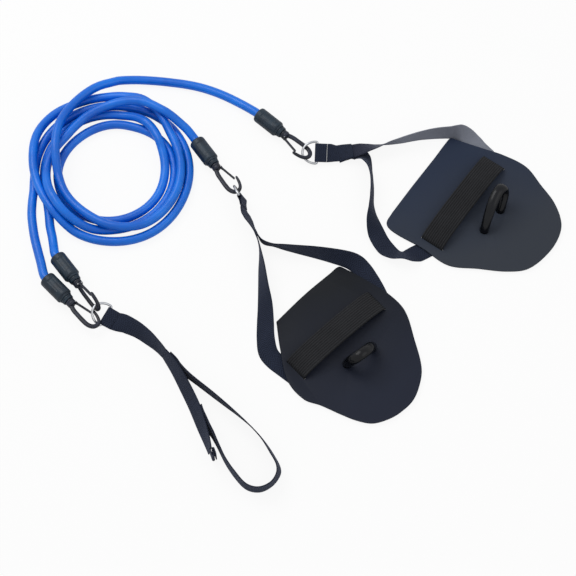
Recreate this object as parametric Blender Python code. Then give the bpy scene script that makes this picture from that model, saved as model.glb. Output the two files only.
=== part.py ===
"""Swim training resistance band: two latex tubes, four snap hooks, two hand paddles, one anchor strap."""
import math

import bmesh
import bpy
from mathutils import Matrix, Vector

MM = 0.001

# The layout was drawn about the picture's middle; this moves the part's own middle to the origin.
LAYOUT_SHIFT = Vector((-21.36, 7.24, 0.0))

# Clearances
SEAT_GAP = 0.3
PIN_GAP = 0.3

# Latex tube
TUBE_RADIUS = 6.0
TUBE_STEP = 15.0
LEAD_RES = 2
COIL_CENTRE = Vector((-236.0, 167.0, 0.0))

# Cap on each tube end
CAP_LENGTH = 38.8
CAP_RADIUS = 10.8
CAP_EDGE = 1.0
CAP_WEB = 14.0
CAP_MOUTH = 9.4
TUBE_IN_CAP = 21.0
TUBE_OUT = 4.0

# Swivel stem that joins cap and hook
STEM_RADIUS = 2.0
STEM_HEAD_RADIUS = 5.0
STEM_HEAD = 2.6
STEM_REACH = 9.5
COLLAR_RADIUS = 7.9
COLLAR_LENGTH = 5.0

# Snap hook
HOOK_BASE_RADIUS = 6.1
HOOK_BASE_END = 14.5
HOOK_THICK = 4.6
HOOK_EDGE = 0.7
PIVOT = Vector((12.5, 4.8, 0.0))
PIN_RADIUS = 0.9
GATE_THICK = 3.4
GATE_KNUCKLE = 1.9
GATE_HALF_WIDTH = 1.1
GATE_TIP = Vector((37.5, 10.3, 0.0))
SLOT_SIDE = 0.35

# Ring at the end of each strap
RING_WIRE = 1.6
RING_INSIDE = 26.0
RING_DEPTH = 20.0
RING_CORNER = 2.2

# Webbing
WEB_WIDTH = 25.0
WEB_THICK = 1.5
WEB_EYE_THICK = 1.2

# Hand paddle
PADDLE_UNDER = 2.3
PADDLE_THICK = 2.6
PADDLE_EDGE = 0.8
ELASTIC_WIDTH = 33.0
ELASTIC_THICK = 1.5
ELASTIC_RISE = 13.0
LOOP_RADIUS = 5.2
LOOP_STOP_RADIUS = 8.5


for old in list(bpy.data.objects):
    bpy.data.objects.remove(old, do_unlink=True)

parts = bpy.data.collections.new("swim_training_band")
cutters = bpy.data.collections.new("cutters")
bpy.context.scene.collection.children.link(parts)
bpy.context.scene.collection.children.link(cutters)

layout = bpy.data.objects.new("band_layout", None)
layout.location = LAYOUT_SHIFT * MM
parts.objects.link(layout)


def make_material(name, colour, roughness, metallic=0.0):
    mat = bpy.data.materials.new(name)
    mat.use_nodes = True
    shader = mat.node_tree.nodes["Principled BSDF"]
    shader.inputs["Base Color"].default_value = (*colour, 1.0)
    shader.inputs["Roughness"].default_value = roughness
    shader.inputs["Metallic"].default_value = metallic
    mat.diffuse_color = (*colour, 1.0)
    return mat


FINISHES = {
    "latex": ((0.013, 0.12, 0.72), 0.35, 0.0),
    "moulding": ((0.025, 0.035, 0.045), 0.42, 0.0),
    "hook": ((0.016, 0.018, 0.028), 0.35, 0.0),
    "steel": ((0.62, 0.63, 0.65), 0.18, 1.0),
    "webbing": ((0.016, 0.018, 0.03), 0.8, 0.0),
    "board": ((0.012, 0.013, 0.02), 0.6, 0.0),
    "elastic": ((0.01, 0.01, 0.014), 0.85, 0.0),
    "rubber": ((0.02, 0.02, 0.022), 0.4, 0.0),
}


def finish(obj, kind):
    obj.data.materials.clear()
    obj.data.materials.append(make_material(obj.name + "_" + kind, *FINISHES[kind]))
    return obj


def empty(name, parent, location=(0, 0, 0), rotation=(0, 0, 0)):
    """An empty at a place in millimetres, turned roll, pitch, heading in degrees."""
    obj = bpy.data.objects.new(name, None)
    obj.location = Vector(location) * MM
    obj.rotation_euler = [math.radians(a) for a in rotation]
    obj.parent = parent
    obj.empty_display_size = 0.01
    parts.objects.link(obj)
    return obj


def place(obj, parent, at=(0, 0, 0), as_cutter=False):
    for coll in list(obj.users_collection):
        coll.objects.unlink(obj)
    (cutters if as_cutter else parts).objects.link(obj)
    if as_cutter:
        obj.hide_render = True
        obj.display_type = "WIRE"
    obj.parent = parent
    obj.location = Vector(at) * MM
    return obj


def mesh_object(name, bm):
    mesh = bpy.data.meshes.new(name)
    bmesh.ops.recalc_face_normals(bm, faces=bm.faces)
    bm.to_mesh(mesh)
    bm.free()
    return bpy.data.objects.new(name, mesh)


def turned(name, profile, steps=20):
    """A solid turned about its X axis from (x, radius) points in millimetres."""
    bm = bmesh.new()
    rows = []
    for x, radius in profile:
        ring = []
        for k in range(steps):
            a = 2 * math.pi * (k + 0.5) / steps
            ring.append(bm.verts.new(Vector((x, radius * math.cos(a), radius * math.sin(a))) * MM))
        rows.append(ring)
    closed = profile[0] == profile[-1]
    if closed:
        bmesh.ops.delete(bm, geom=rows[-1], context="VERTS")
        rows[-1] = rows[0]
    for first, second in zip(rows, rows[1:]):
        for k in range(steps):
            bm.faces.new((first[k], second[k], second[(k + 1) % steps], first[(k + 1) % steps]))
    if not closed:
        bm.faces.new(rows[0])
        bm.faces.new(list(reversed(rows[-1])))
    obj = mesh_object(name, bm)
    obj.data.shade_smooth()
    obj.data.set_sharp_from_angle(angle=math.radians(35))
    return obj


def wire(name, points, radius, cyclic=False, res=2, radii=None):
    """A round wire or tube along points in millimetres, with filled ends."""
    curve = bpy.data.curves.new(name, "CURVE")
    curve.dimensions = "3D"
    curve.bevel_depth = radius * MM
    curve.bevel_resolution = res
    curve.use_fill_caps = not cyclic
    line = curve.splines.new("POLY")
    line.points.add(len(points) - 1)
    for k, point in enumerate(points):
        line.points[k].co = (*(Vector(point) * MM), 1.0)
        line.points[k].radius = radii[k] if radii else 1.0
    line.use_cyclic_u = cyclic
    line.use_smooth = True
    return bpy.data.objects.new(name, curve)


def flat_plate(name, outline, thick, edge):
    """A flat plate in the XY plane, centred on z = 0, with its edges eased."""
    curve = bpy.data.curves.new(name, "CURVE")
    curve.dimensions = "2D"
    curve.fill_mode = "BOTH"
    curve.extrude = (thick / 2 - edge) * MM
    curve.bevel_depth = edge * MM
    curve.bevel_resolution = 1
    curve.offset = -edge * MM
    line = curve.splines.new("POLY")
    line.points.add(len(outline) - 1)
    for k, (x, y) in enumerate(outline):
        line.points[k].co = (x * MM, y * MM, 0.0, 1.0)
    line.use_cyclic_u = True
    return bpy.data.objects.new(name, curve)


def to_mesh(obj):
    """The curve as a closed mesh, with its loose caps welded."""
    bpy.context.scene.collection.objects.link(obj)
    bpy.context.view_layer.update()
    evaluated = obj.evaluated_get(bpy.context.evaluated_depsgraph_get())
    mesh = bpy.data.meshes.new_from_object(evaluated)
    bm = bmesh.new()
    bm.from_mesh(mesh)
    bmesh.ops.remove_doubles(bm, verts=bm.verts, dist=0.00001)
    bmesh.ops.recalc_face_normals(bm, faces=bm.faces)
    bm.to_mesh(mesh)
    bm.free()
    made = bpy.data.objects.new(obj.name, mesh)
    made.matrix_world = obj.matrix_world
    name = obj.name
    bpy.data.objects.remove(obj, do_unlink=True)
    made.name = name
    return made


def boolean(obj, other, operation):
    mod = obj.modifiers.new(operation.lower(), "BOOLEAN")
    mod.operation = operation
    mod.solver = "EXACT"
    mod.object = other
    return obj


def block(name, low, high):
    bm = bmesh.new()
    bmesh.ops.create_cube(bm, size=1.0)
    low, high = Vector(low), Vector(high)
    for vert in bm.verts:
        for axis in range(3):
            vert.co[axis] = (low[axis] if vert.co[axis] < 0 else high[axis]) * MM
    return mesh_object(name, bm)


def pillar(name, radius, low, high, steps=16):
    """A round bar along Z."""
    bm = bmesh.new()
    bmesh.ops.create_cone(bm, cap_ends=True, segments=steps, radius1=radius * MM, radius2=radius * MM,
                          depth=(high - low) * MM)
    bmesh.ops.translate(bm, verts=bm.verts, vec=(0, 0, (low + high) / 2 * MM))
    return mesh_object(name, bm)


def even_value(keys, at):
    """A value eased between (place, value) keys without overshooting them."""
    last = len(keys) - 1

    def slope(k):
        if k == 0 or k == last:
            a, b = keys[max(k - 1, 0)], keys[min(k + 1, last)]
            return (b[1] - a[1]) / (b[0] - a[0])
        below = (keys[k][1] - keys[k - 1][1]) / (keys[k][0] - keys[k - 1][0])
        above = (keys[k + 1][1] - keys[k][1]) / (keys[k + 1][0] - keys[k][0])
        return 2 * below * above / (below + above) if below * above > 0 else 0.0

    k = 0
    while k < last - 1 and keys[k + 1][0] < at:
        k += 1
    span = keys[k + 1][0] - keys[k][0]
    t = (at - keys[k][0]) / span
    return ((2 * t**3 - 3 * t**2 + 1) * keys[k][1] + (t**3 - 2 * t**2 + t) * slope(k) * span
            + (3 * t**2 - 2 * t**3) * keys[k + 1][1] + (t**3 - t**2) * slope(k + 1) * span)


def smooth_line(points, per_span):
    """Points on a smooth curve through the given ones (any number of values each)."""
    pts = [Vector(p) for p in points]
    out = []
    for k in range(len(pts) - 1):
        before = pts[max(k - 1, 0)]
        after = pts[min(k + 2, len(pts) - 1)]
        here, there = pts[k], pts[k + 1]
        span = (there - here).length
        lead_in = (there - before) * (span / max((there - before).length, 1e-6))
        lead_out = (after - here) * (span / max((after - here).length, 1e-6))
        for step in range(per_span):
            t = step / per_span
            out.append((2 * t**3 - 3 * t**2 + 1) * here + (t**3 - 2 * t**2 + t) * lead_in
                       + (3 * t**2 - 2 * t**3) * there + (t**3 - t**2) * lead_out)
    out.append(pts[-1])
    return out


def stroke(points, widths):
    """The outline of a line drawn with a changing half width."""
    left, right = [], []
    for k, point in enumerate(points):
        before = points[max(k - 1, 0)]
        after = points[min(k + 1, len(points) - 1)]
        along = (after - before).normalized()
        side = Vector((-along.y, along.x))
        left.append(point.to_2d() + side * widths[k])
        right.append(point.to_2d() - side * widths[k])
    return [tuple(p) for p in right] + [tuple(p) for p in reversed(left)]


def arc(cx, cy, radius, start, end, count):
    return [(cx + radius * math.cos(math.radians(start + (end - start) * k / count)),
             cy + radius * math.sin(math.radians(start + (end - start) * k / count)))
            for k in range(count + 1)]


# Snap hook, drawn with its stem along +X and its gate on the +Y side
HOOK_LINE = [(8.0, 0.0), (13.5, -2.5), (20.0, -4.5), (30.0, -5.2), (40.0, -5.5), (48.0, -4.8), (54.0, -1.4),
             (55.9, 4.0), (53.6, 8.8), (48.5, 11.7), (42.0, 13.3), (36.5, 13.9)]
HOOK_HALF_WIDTHS = [3.8, 3.2, 3.0, 2.9, 3.0, 2.9, 2.9, 2.7, 2.3, 2.0, 1.8, 1.4]


def snap_hook(tag, base):
    """Frame, gate and gate pin of one snap hook, and the collar and stem that carry it."""
    line = smooth_line([(x, y, w) for (x, y), w in zip(HOOK_LINE, HOOK_HALF_WIDTHS)], 2)
    outline = stroke([Vector((p.x, p.y, 0)) for p in line], [p.z for p in line])
    frame = to_mesh(flat_plate("hook_frame_" + tag, outline, HOOK_THICK, HOOK_EDGE))
    collar_end = SEAT_GAP + COLLAR_LENGTH
    base_start = collar_end + SEAT_GAP
    root = place(turned("hook_root_" + tag, [(base_start, HOOK_BASE_RADIUS - 0.8),
                                             (base_start + 0.8, HOOK_BASE_RADIUS),
                                           (HOOK_BASE_END - 2.5, HOOK_BASE_RADIUS), (HOOK_BASE_END, 3.2)]),
                 base, as_cutter=True)
    socket = place(turned("stem_socket_" + tag, [(base_start - 1, STEM_RADIUS + PIN_GAP),
                                               (STEM_REACH + SEAT_GAP, STEM_RADIUS + PIN_GAP)], 12),
                   base, as_cutter=True)
    slot_half = GATE_THICK / 2 + SLOT_SIDE
    slot = place(block("gate_slot_" + tag, (PIVOT.x - GATE_KNUCKLE - SLOT_SIDE,
                                            PIVOT.y - GATE_KNUCKLE - SLOT_SIDE, -slot_half),
                       (HOOK_BASE_END + 4, HOOK_BASE_RADIUS + 4, slot_half)), base, as_cutter=True)
    hole = place(pillar("pin_hole_" + tag, PIN_RADIUS + PIN_GAP, -8, 8), base, as_cutter=True, at=PIVOT)
    finish(place(frame, base), "hook")
    boolean(frame, root, "UNION")
    boolean(frame, socket, "DIFFERENCE")
    boolean(frame, slot, "DIFFERENCE")
    boolean(frame, hole, "DIFFERENCE")

    reach = GATE_TIP - PIVOT
    gate_outline = arc(0, 0, GATE_KNUCKLE, 100, 290, 9)
    tip_dir = reach.to_2d().normalized()
    side = Vector((-tip_dir.y, tip_dir.x)) * GATE_HALF_WIDTH
    tip = reach.to_2d()
    gate_outline += [tuple(tip_dir * 4 - side), tuple(tip - side), tuple(tip + tip_dir * 0.6),
                     tuple(tip + side),
                     tuple(tip_dir * 4 + side)]
    gate = to_mesh(flat_plate("hook_gate_" + tag, gate_outline, GATE_THICK, 0.4))
    gate_bore = place(pillar("gate_bore_" + tag, PIN_RADIUS + PIN_GAP, -8, 8, 12), base, as_cutter=True,
                      at=PIVOT)
    finish(place(gate, base, at=PIVOT), "hook")
    boolean(gate, gate_bore, "DIFFERENCE")

    pin_half = math.sqrt(HOOK_BASE_RADIUS**2 - PIVOT.y**2) - 0.1
    finish(place(pillar("gate_pin_" + tag, PIN_RADIUS, -pin_half, pin_half, 12), base, at=PIVOT), "steel")

    bore = STEM_RADIUS + PIN_GAP
    finish(place(turned("hook_collar_" + tag, [(SEAT_GAP, bore), (SEAT_GAP, COLLAR_RADIUS - 0.5),
                                               (SEAT_GAP + 0.5, COLLAR_RADIUS),
                                             (collar_end - 1.2, COLLAR_RADIUS),
                                             (collar_end, COLLAR_RADIUS - 1.0),
                                             (collar_end, bore), (SEAT_GAP, bore)]), base), "moulding")
    head_end = -CAP_WEB - SEAT_GAP
    finish(place(turned("swivel_stem_" + tag, [(head_end - STEM_HEAD, STEM_HEAD_RADIUS),
                                               (head_end, STEM_HEAD_RADIUS),
                                             (head_end, STEM_RADIUS), (STEM_REACH, STEM_RADIUS)], 16),
                                             base), "steel")


def cap(tag, parent):
    """The moulded cap over a tube's end, which turns on the stem."""
    bore = STEM_RADIUS + PIN_GAP
    mouth = TUBE_RADIUS + SEAT_GAP
    body = turned("tube_cap_" + tag, [
        (-CAP_LENGTH, mouth), (-CAP_LENGTH, CAP_MOUTH), (-CAP_LENGTH + CAP_EDGE, CAP_RADIUS - 0.3),
        (-CAP_LENGTH + 2 * CAP_EDGE, CAP_RADIUS), (-3.6, CAP_RADIUS), (-2.6, CAP_RADIUS - CAP_EDGE),
        (-2.2, 8.8), (0.0, 8.4), (0.0, bore), (-CAP_WEB, bore), (-CAP_WEB, mouth), (-CAP_LENGTH, mouth)],
        24)
    finish(place(body, parent), "moulding")


def strap_ring(tag, parent):
    """D-shaped ring: its straight bar lies on the Y axis, its bow reaches towards -X."""
    half = RING_INSIDE / 2 + RING_WIRE
    bow = RING_DEPTH - RING_CORNER
    points = [(0.0, -half + RING_CORNER, 0), (0.0, half - RING_CORNER, 0)]
    points += [(-RING_CORNER + x, half - RING_CORNER + y, 0) for x,
               y in arc(0, 0, RING_CORNER, 22.5, 90, 3)]
    points += [(x - RING_CORNER, y, 0) for x, y in
               [(bow * math.cos(math.radians(a)), half * math.sin(math.radians(a)))
                for a in range(105, 256, 15)]]
    points += [(-RING_CORNER + x, -half + RING_CORNER + y, 0) for x,
               y in arc(0, 0, RING_CORNER, 270, 337.5, 3)]
    finish(place(wire("strap_ring_" + tag, points, RING_WIRE, cyclic=True), parent), "steel")


def web_frames(path, width, per_span):
    """Points, side and face directions along a strap from (x, y, lean, lift) keys.

    A lean of 0 lies flat, 90 stands on its edge with its left side up. The strap rests on the floor plus the lift.
    """
    places = smooth_line([Vector((x, y, 0)) for x, y, lean, lift in path], per_span)
    spans = [math.hypot(b[0] - a[0], b[1] - a[1]) for a, b in zip(path, path[1:])]
    travel = [sum(spans[:k]) for k in range(len(path))]
    frames = []
    for k, point in enumerate(places):
        before = places[max(k - 1, 0)]
        after = places[min(k + 1, len(places) - 1)]
        along = (after - before).normalized()
        left = Vector((-along.y, along.x, 0))
        here = travel[min(k // per_span, len(spans) - 1)]
        here += (k - min(k // per_span, len(spans) - 1) * per_span) / per_span * spans[min(k // per_span,
                len(spans) - 1)]
        lean = math.radians(even_value([(t, key[2]) for t, key in zip(travel, path)], here))
        lift = even_value([(t, key[3]) for t, key in zip(travel, path)], here)
        side = left * math.cos(lean) + Vector((0, 0, 1)) * math.sin(lean)
        face = along.cross(side)
        rest = width / 2 * abs(math.sin(lean)) + WEB_THICK / 2 * abs(math.cos(lean))
        frames.append((point + Vector((0, 0, rest + lift)), side, face))
    return frames


def ribbon(name, frames, width, thick, kind, parent=None):
    """A flat strap lofted through its frames."""
    bm = bmesh.new()
    rows = []
    for centre, side, face in frames:
        a, b = side * width / 2, face * thick / 2
        rows.append([bm.verts.new((centre + p) * MM) for p in (-a - b, a - b, a + b, -a + b)])
    for first, second in zip(rows, rows[1:]):
        for k in range(4):
            bm.faces.new((first[k], first[(k + 1) % 4], second[(k + 1) % 4], second[k]))
    bm.faces.new(list(reversed(rows[0])))
    bm.faces.new(rows[-1])
    return finish(place(mesh_object(name, bm), parent or layout), kind)


# Each tube end: where its cap's neck is, its heading and pitch, and the roll of its hook
CONNECTORS = {
    "paddle_1": dict(neck=(-11.4, 230.25, 10.95), heading=-41.8, pitch=0.9, roll=169.7),
    "paddle_2": dict(neck=(-101.45, 180.35, 13.05), heading=-55.4, pitch=-0.1, roll=-1.1),
    "anchor_1": dict(neck=(-277.6, 7.9, 12.65), heading=-52.5, pitch=0.1, roll=73.4),
    "anchor_2": dict(neck=(-285.5, -20.65, 13.15), heading=-45.9, pitch=0.1, roll=-9.3),
}
sockets = {}
for tag, spot in CONNECTORS.items():
    neck = empty("neck_" + tag, layout, spot["neck"], (0, spot["pitch"], spot["heading"]))
    cap(tag, neck)
    rolled = empty("hook_" + tag, neck, rotation=(spot["roll"], 0, 0))
    snap_hook(tag, rolled)
    turn = (Matrix.Rotation(math.radians(spot["heading"]), 3, "Z")
            @ Matrix.Rotation(math.radians(spot["pitch"]), 3, "Y"))
    tail = Vector(spot["neck"]) - turn @ Vector((CAP_LENGTH, 0, 0))
    sockets[tag] = dict(tail=tail, back=turn @ Vector((-1, 0, 0)),
                        tube_end=tail + turn @ Vector((TUBE_IN_CAP, 0, 0)))

# Each ring: the middle of its bar, its heading, pitch and roll, and how far its sewn strap is swung about the bar
RINGS = {
    "paddle_1": dict(bar=(39.4, 196.5, 10.4), heading=-2.0, pitch=1.0, roll=27.6, eye_swing=0.0),
    "paddle_2": dict(bar=(-61.1, 123.9, 15.8), heading=-61.5, pitch=-0.8, roll=107.2, eye_swing=-18.7),
    "anchor": dict(bar=(-233.9, -42.8, 5.95), heading=-24.7, pitch=33.2, roll=8.3, eye_swing=-28.0),
}
for tag, spot in RINGS.items():
    turn = (Matrix.Rotation(math.radians(spot["heading"]), 3,
                            "Z") @ Matrix.Rotation(math.radians(spot["pitch"]), 3, "Y")
            @ Matrix.Rotation(math.radians(spot["roll"]), 3, "X"))
    spot["bar"] = Vector(spot["bar"])
    spot["turn"] = turn @ Matrix.Rotation(math.radians(spot["eye_swing"]), 3, "Y")
    spot["holder"] = empty("ring_" + tag, layout, spot["bar"],
                           (spot["roll"], spot["pitch"], spot["heading"]))
    strap_ring(tag, spot["holder"])

# Coil keys: angle round the coil in degrees, radius to the tube's middle, height of the tube's middle
COIL_HAND_1 = [
    (94, 138.6, 13.5), (100, 133.4, 16.8), (106, 127, 19.4), (116, 117, 21.5), (128, 106, 24.5),
    (143, 92, 31.5), (158, 81, 31.8), (172, 74, 28), (190, 70.5, 21), (215, 70, 19), (240, 72.5, 19),
    (255, 77, 19.3), (270, 84, 19.5), (285, 90, 18.5), (300, 93.5, 16), (330, 93.5, 15), (360, 92.5, 15.2),
    (385, 93.5, 15.2), (398, 96.3, 16), (408, 101.5, 18.6), (418, 108, 19), (430, 115, 18),
    (445, 119.5, 9.5), (460, 120.5, 6.5), (475, 121.5, 6.5), (495, 123, 8.5), (512, 117.3, 15),
    (528, 108.5, 19), (545, 101.8, 19.3), (563, 97.3, 19.3), (578, 96.3, 18.5), (590, 97.3, 14),
    (605, 99.8, 8), (625, 101.8, 6.3), (660, 105.5, 6.3), (700, 103.3, 6.3), (740, 103.8, 6.3),
    (770, 105, 6.3), (800, 105, 6.3), (830, 106.5, 6.3), (860, 107, 6.3), (885, 105.2, 6.3),
    (900, 104, 6.3), (908, 105, 6.3)]
COIL_HAND_2 = [
    (56, 106, 31.7), (64, 105.3, 32), (73, 103.5, 30.5), (86, 101, 24), (98, 97, 20), (112, 90.5, 19),
    (128, 84, 19), (143, 81, 19), (160, 83.5, 19), (180, 86, 20.5), (198, 87, 25.5), (213, 87.5, 29),
    (228, 89, 25.8), (242, 89.5, 18.2), (256, 88.5, 10), (270, 86, 6.5), (300, 85, 6.3), (330, 84, 6.3),
    (360, 83.5, 6.3), (385, 83, 6.3), (405, 80.5, 6.3), (430, 76.5, 6.3), (450, 76, 6.3),
    (490, 72.5, 6.3), (540, 73, 6.3), (580, 73, 6.3), (620, 72.5, 6.3), (660, 71.3, 6.3), (690, 71, 7),
    (720, 71, 10), (745, 73.6, 14.6), (760, 78, 19), (775, 83.5, 18.9), (790, 88.5, 13),
    (806, 90.5, 6.8), (840, 93.5, 6.3), (870, 93.1, 6.3), (890, 91.8, 6.3), (908, 91.2, 6.3),
    (922, 93.5, 6.3)]


def coil_radius(keys, angle):
    """Radius at an angle, on a smooth curve through the keys."""
    last = len(keys) - 1
    k = 0
    while k < last - 1 and keys[k + 1][0] < angle:
        k += 1

    def slope(n):
        a, b = keys[max(n - 1, 0)], keys[min(n + 1, last)]
        if 0 < n < last:
            below = (keys[n][1] - a[1]) / (keys[n][0] - a[0])
            above = (b[1] - keys[n][1]) / (b[0] - keys[n][0])
            return (below + above) / 2
        return (b[1] - a[1]) / (b[0] - a[0])

    span = keys[k + 1][0] - keys[k][0]
    t = (angle - keys[k][0]) / span
    return ((2 * t**3 - 3 * t**2 + 1) * keys[k][1] + (t**3 - 2 * t**2 + t) * slope(k) * span
            + (3 * t**2 - 2 * t**3) * keys[k + 1][1] + (t**3 - t**2) * slope(k + 1) * span)


def coil_points(keys, step):
    first, last = keys[0][0], keys[-1][0]
    count = round((last - first) / step)
    points = []
    for k in range(count + 1):
        angle = first + (last - first) * k / count
        radius, height = coil_radius(keys, angle), even_value([(key[0], key[2]) for key in keys], angle)
        turn = math.radians(angle)
        points.append(COIL_CENTRE + Vector((radius * math.cos(turn), radius * math.sin(turn), height)))
    return points


# Free stretches of tube, from each cap to the coil, as chosen points
LEADS = {
    "paddle_1": [(-71.0, 278.2, 8.8), (-93.5, 290.8, 7.8), (-116.0, 300.4, 6.9), (-138.0, 306.5, 6.4),
                 (-160.5, 310.2, 6.3), (-182.5, 312.8, 6.4), (-204.5, 313.9, 7.0), (-221.0, 312.9, 8.5)],
    "paddle_2": [(-136.5, 228.6, 17.0), (-146.5, 236.2, 22.5), (-157.0, 243.2, 28.3)],
    "anchor_1": [(-316.9, 105.0, 6.3), (-314.4, 87.4, 6.4), (-310.0, 69.6, 6.9), (-307.2, 56.0, 8.6)],
    "anchor_2": [(-340.3, 124.0, 6.3), (-339.8, 105.0, 6.3), (-337.1, 87.0, 6.4), (-333.2, 69.0, 6.8),
                 (-328.0, 51.0, 7.8), (-322.3, 32.5, 10.0)],
}


def trimmed(points, from_start=0.0, from_end=0.0):
    """The same points with a length cut off either end."""
    pts = [Vector(p) for p in points]
    if from_start:
        pts[0] = pts[0] + (pts[1] - pts[0]).normalized() * from_start
    if from_end:
        pts[-1] = pts[-1] + (pts[-2] - pts[-1]).normalized() * from_end
    return pts


def length_of(points):
    return sum((Vector(b) - Vector(a)).length for a, b in zip(points, points[1:]))


def join_ends(start, leave, leave_dir, between, arrive, arrive_dir):
    """A lead from inside a cap to a coil's end, reaching it along the coil's own line."""
    straight = 2 * TUBE_RADIUS
    free = [leave - leave_dir * straight, leave] + [Vector(p) for p in between]
    free += [arrive - arrive_dir * straight, arrive]
    smooth = smooth_line(free, 2)
    return [start] + smooth[2:-2] + [arrive - arrive_dir * straight * 0.5, arrive]


def tube(number, keys, hand_tag, anchor_tag):
    """One latex tube: lead from the hand's cap, coil, lead to the anchor's cap."""
    coil = coil_points(keys, TUBE_STEP)
    hand, anchor = sockets[hand_tag], sockets[anchor_tag]
    into = (coil[1] - coil[0]).normalized()
    out_of = (coil[-1] - coil[-2]).normalized()
    lead_in = join_ends(hand["tube_end"], hand["tail"] + hand["back"] * TUBE_OUT, hand["back"],
                        LEADS[hand_tag], coil[0], into)
    lead_out = join_ends(anchor["tube_end"], anchor["tail"] + anchor["back"] * TUBE_OUT, anchor["back"],
                         list(reversed(LEADS[anchor_tag])), coil[-1], -out_of)
    lead_out.reverse()
    pieces = {"lead_" + hand_tag: (trimmed(lead_in, from_end=SEAT_GAP), LEAD_RES),
              "coil": (coil, 1),
              "lead_" + anchor_tag: (trimmed(lead_out, from_start=SEAT_GAP), LEAD_RES)}
    for name, (points, res) in pieces.items():
        finish(place(wire("tube_%d_%s" % (number, name), points, TUBE_RADIUS, res=res), layout), "latex")
    print("tube", number, "length mm", round(length_of(lead_in) + length_of(coil) + length_of(lead_out)))


def least_gap(first, second, same):
    """Smallest surface gap between two stretches, or between turns of one."""
    least = 1e9
    for i, a in enumerate(first):
        for j, b in enumerate(second):
            if same and j < i + 12:
                continue
            least = min(least, (a - b).length)
    return least - 2 * TUBE_RADIUS


tube(1, COIL_HAND_1, "paddle_1", "anchor_2")
tube(2, COIL_HAND_2, "paddle_2", "anchor_1")
fine_1, fine_2 = coil_points(COIL_HAND_1, 3.0), coil_points(COIL_HAND_2, 3.0)
print("least gaps mm: coil 1 to itself", round(least_gap(fine_1, fine_1, True), 2),
      "coil 2 to itself", round(least_gap(fine_2, fine_2, True), 2),
      "coil 1 to coil 2", round(least_gap(fine_1, fine_2, False), 2))


def strap_eye(tag):
    """The strap's folded end, sewn round the ring's bar."""
    spot = RINGS[tag]
    inner = RING_WIRE + SEAT_GAP
    outer = inner + WEB_EYE_THICK
    steps = 7
    outside = arc(0, 0, outer, 90, 270, steps)
    inside = arc(0, 0, inner, 270, 90, steps)
    tail = 13.0
    shape = [(tail, WEB_THICK), (4.6, WEB_THICK)] + outside + [(4.6, -WEB_THICK), (tail, -WEB_THICK)]
    bm = bmesh.new()
    half = WEB_WIDTH / 2
    rings = []
    for y in (-half, half):
        rings.append([bm.verts.new(Vector((x, y, z)) * MM) for x, z in shape])
    bm.faces.new(rings[0])
    bm.faces.new(list(reversed(rings[1])))
    for k in range(len(shape)):
        n = (k + 1) % len(shape)
        bm.faces.new((rings[0][n], rings[0][k], rings[1][k], rings[1][n]))
    holder = empty("eye_" + tag, spot["holder"], rotation=(0, spot["eye_swing"], 0))
    obj = mesh_object("strap_eye_" + tag, bm)
    bm2 = bmesh.new()
    rows = []
    for y in (-half - 1, half + 1):
        rows.append([bm2.verts.new(Vector((x, y, z)) * MM)
                     for x, z in inside[:-1] + [(0, inner), (3.0, 0.6), (3.0, -0.6)]])
    bm2.faces.new(rows[0])
    bm2.faces.new(list(reversed(rows[1])))
    for k in range(len(rows[0])):
        n = (k + 1) % len(rows[0])
        bm2.faces.new((rows[0][n], rows[0][k], rows[1][k], rows[1][n]))
    bore = place(mesh_object("eye_bore_" + tag, bm2), holder, as_cutter=True)
    finish(place(obj, holder), "webbing")
    boolean(obj, bore, "DIFFERENCE")
    return spot["bar"] + spot["turn"] @ Vector((tail + SEAT_GAP, 0, 0))


for tag in RINGS:
    spot = RINGS[tag]
    spot["strap_start"] = strap_eye(tag)
    print("strap start", tag, [round(c, 1) for c in spot["strap_start"]])


def strap(name, keys, per_span=4, start=None):
    """A stretch of webbing; start continues a ring's sewn eye."""
    frames = web_frames(keys, WEB_WIDTH, per_span)
    if start:
        turn = RINGS[start]["turn"]
        frames.insert(0, (RINGS[start]["strap_start"], turn @ Vector((0, 1, 0)), turn @ Vector((0, 0, 1))))
    return ribbon(name, frames, WEB_WIDTH, WEB_THICK, "webbing")


# Webbing keys: x, y, lean in degrees, lift above resting on the floor
strap("strap_1_lead", [(61.5, 197.4, 14, 4.8), (68, 198.6, 0, 4.3), (76, 199.9, -8, 4.5),
                       (87, 201.0, -16, 4.9)], start="paddle_1")
strap("strap_1_upper", [
    (68, 198.6, 0, 2.1), (76, 199.9, -8, 2.3), (87, 201.0, -16, 2.6), (98, 202.8, -24, 3.5),
    (108, 204.8, -37, 2.0),
    (118.5, 206.6, -50, 0.3), (129.5, 209.0, -62, 0), (138, 211.0, -70, 0), (148, 213.4, -76, 0),
    (157.5, 215.9, -81, 0),
    (167, 218.7, -84, 0), (180, 222.0, -88, 0), (193, 224.4, -93, 0), (206, 226.0, -97, 0),
    (219, 226.8, -100, 0),
    (229, 227.3, -112, 0), (237, 226.8, -140, 0), (244, 224.5, -164, 0), (251.5, 218.5, -179, 0),
    (259, 208.5, -180, 0), (270, 196.0, -180, 0)])
strap("strap_1_lower", [
    (68, 198.6, 0, 0), (76, 199.9, -8, 0), (86.5, 200.8, -15, 0), (95.5, 198.0, -16, 0),
    (101.5, 192.5, -29, 0),
    (106, 184.0, -53, 0), (110.3, 169.0, -74, 0), (112.2, 153.5, -79, 0), (112.3, 140.0, -79, 0),
    (111.5, 126.0, -78, 0),
    (111.5, 111.0, -68, 0), (113.2, 92.0, -38, 0), (118.7, 73.0, -12, 0), (127.5, 57.5, -10, 0),
    (138, 46.8, -28, 0),
    (149, 43.2, -44, 0), (160, 44.8, -22, 0), (171, 50.0, 0, 0), (182, 56.0, 0, 0), (194, 63.5, 0, 0)])
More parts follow.
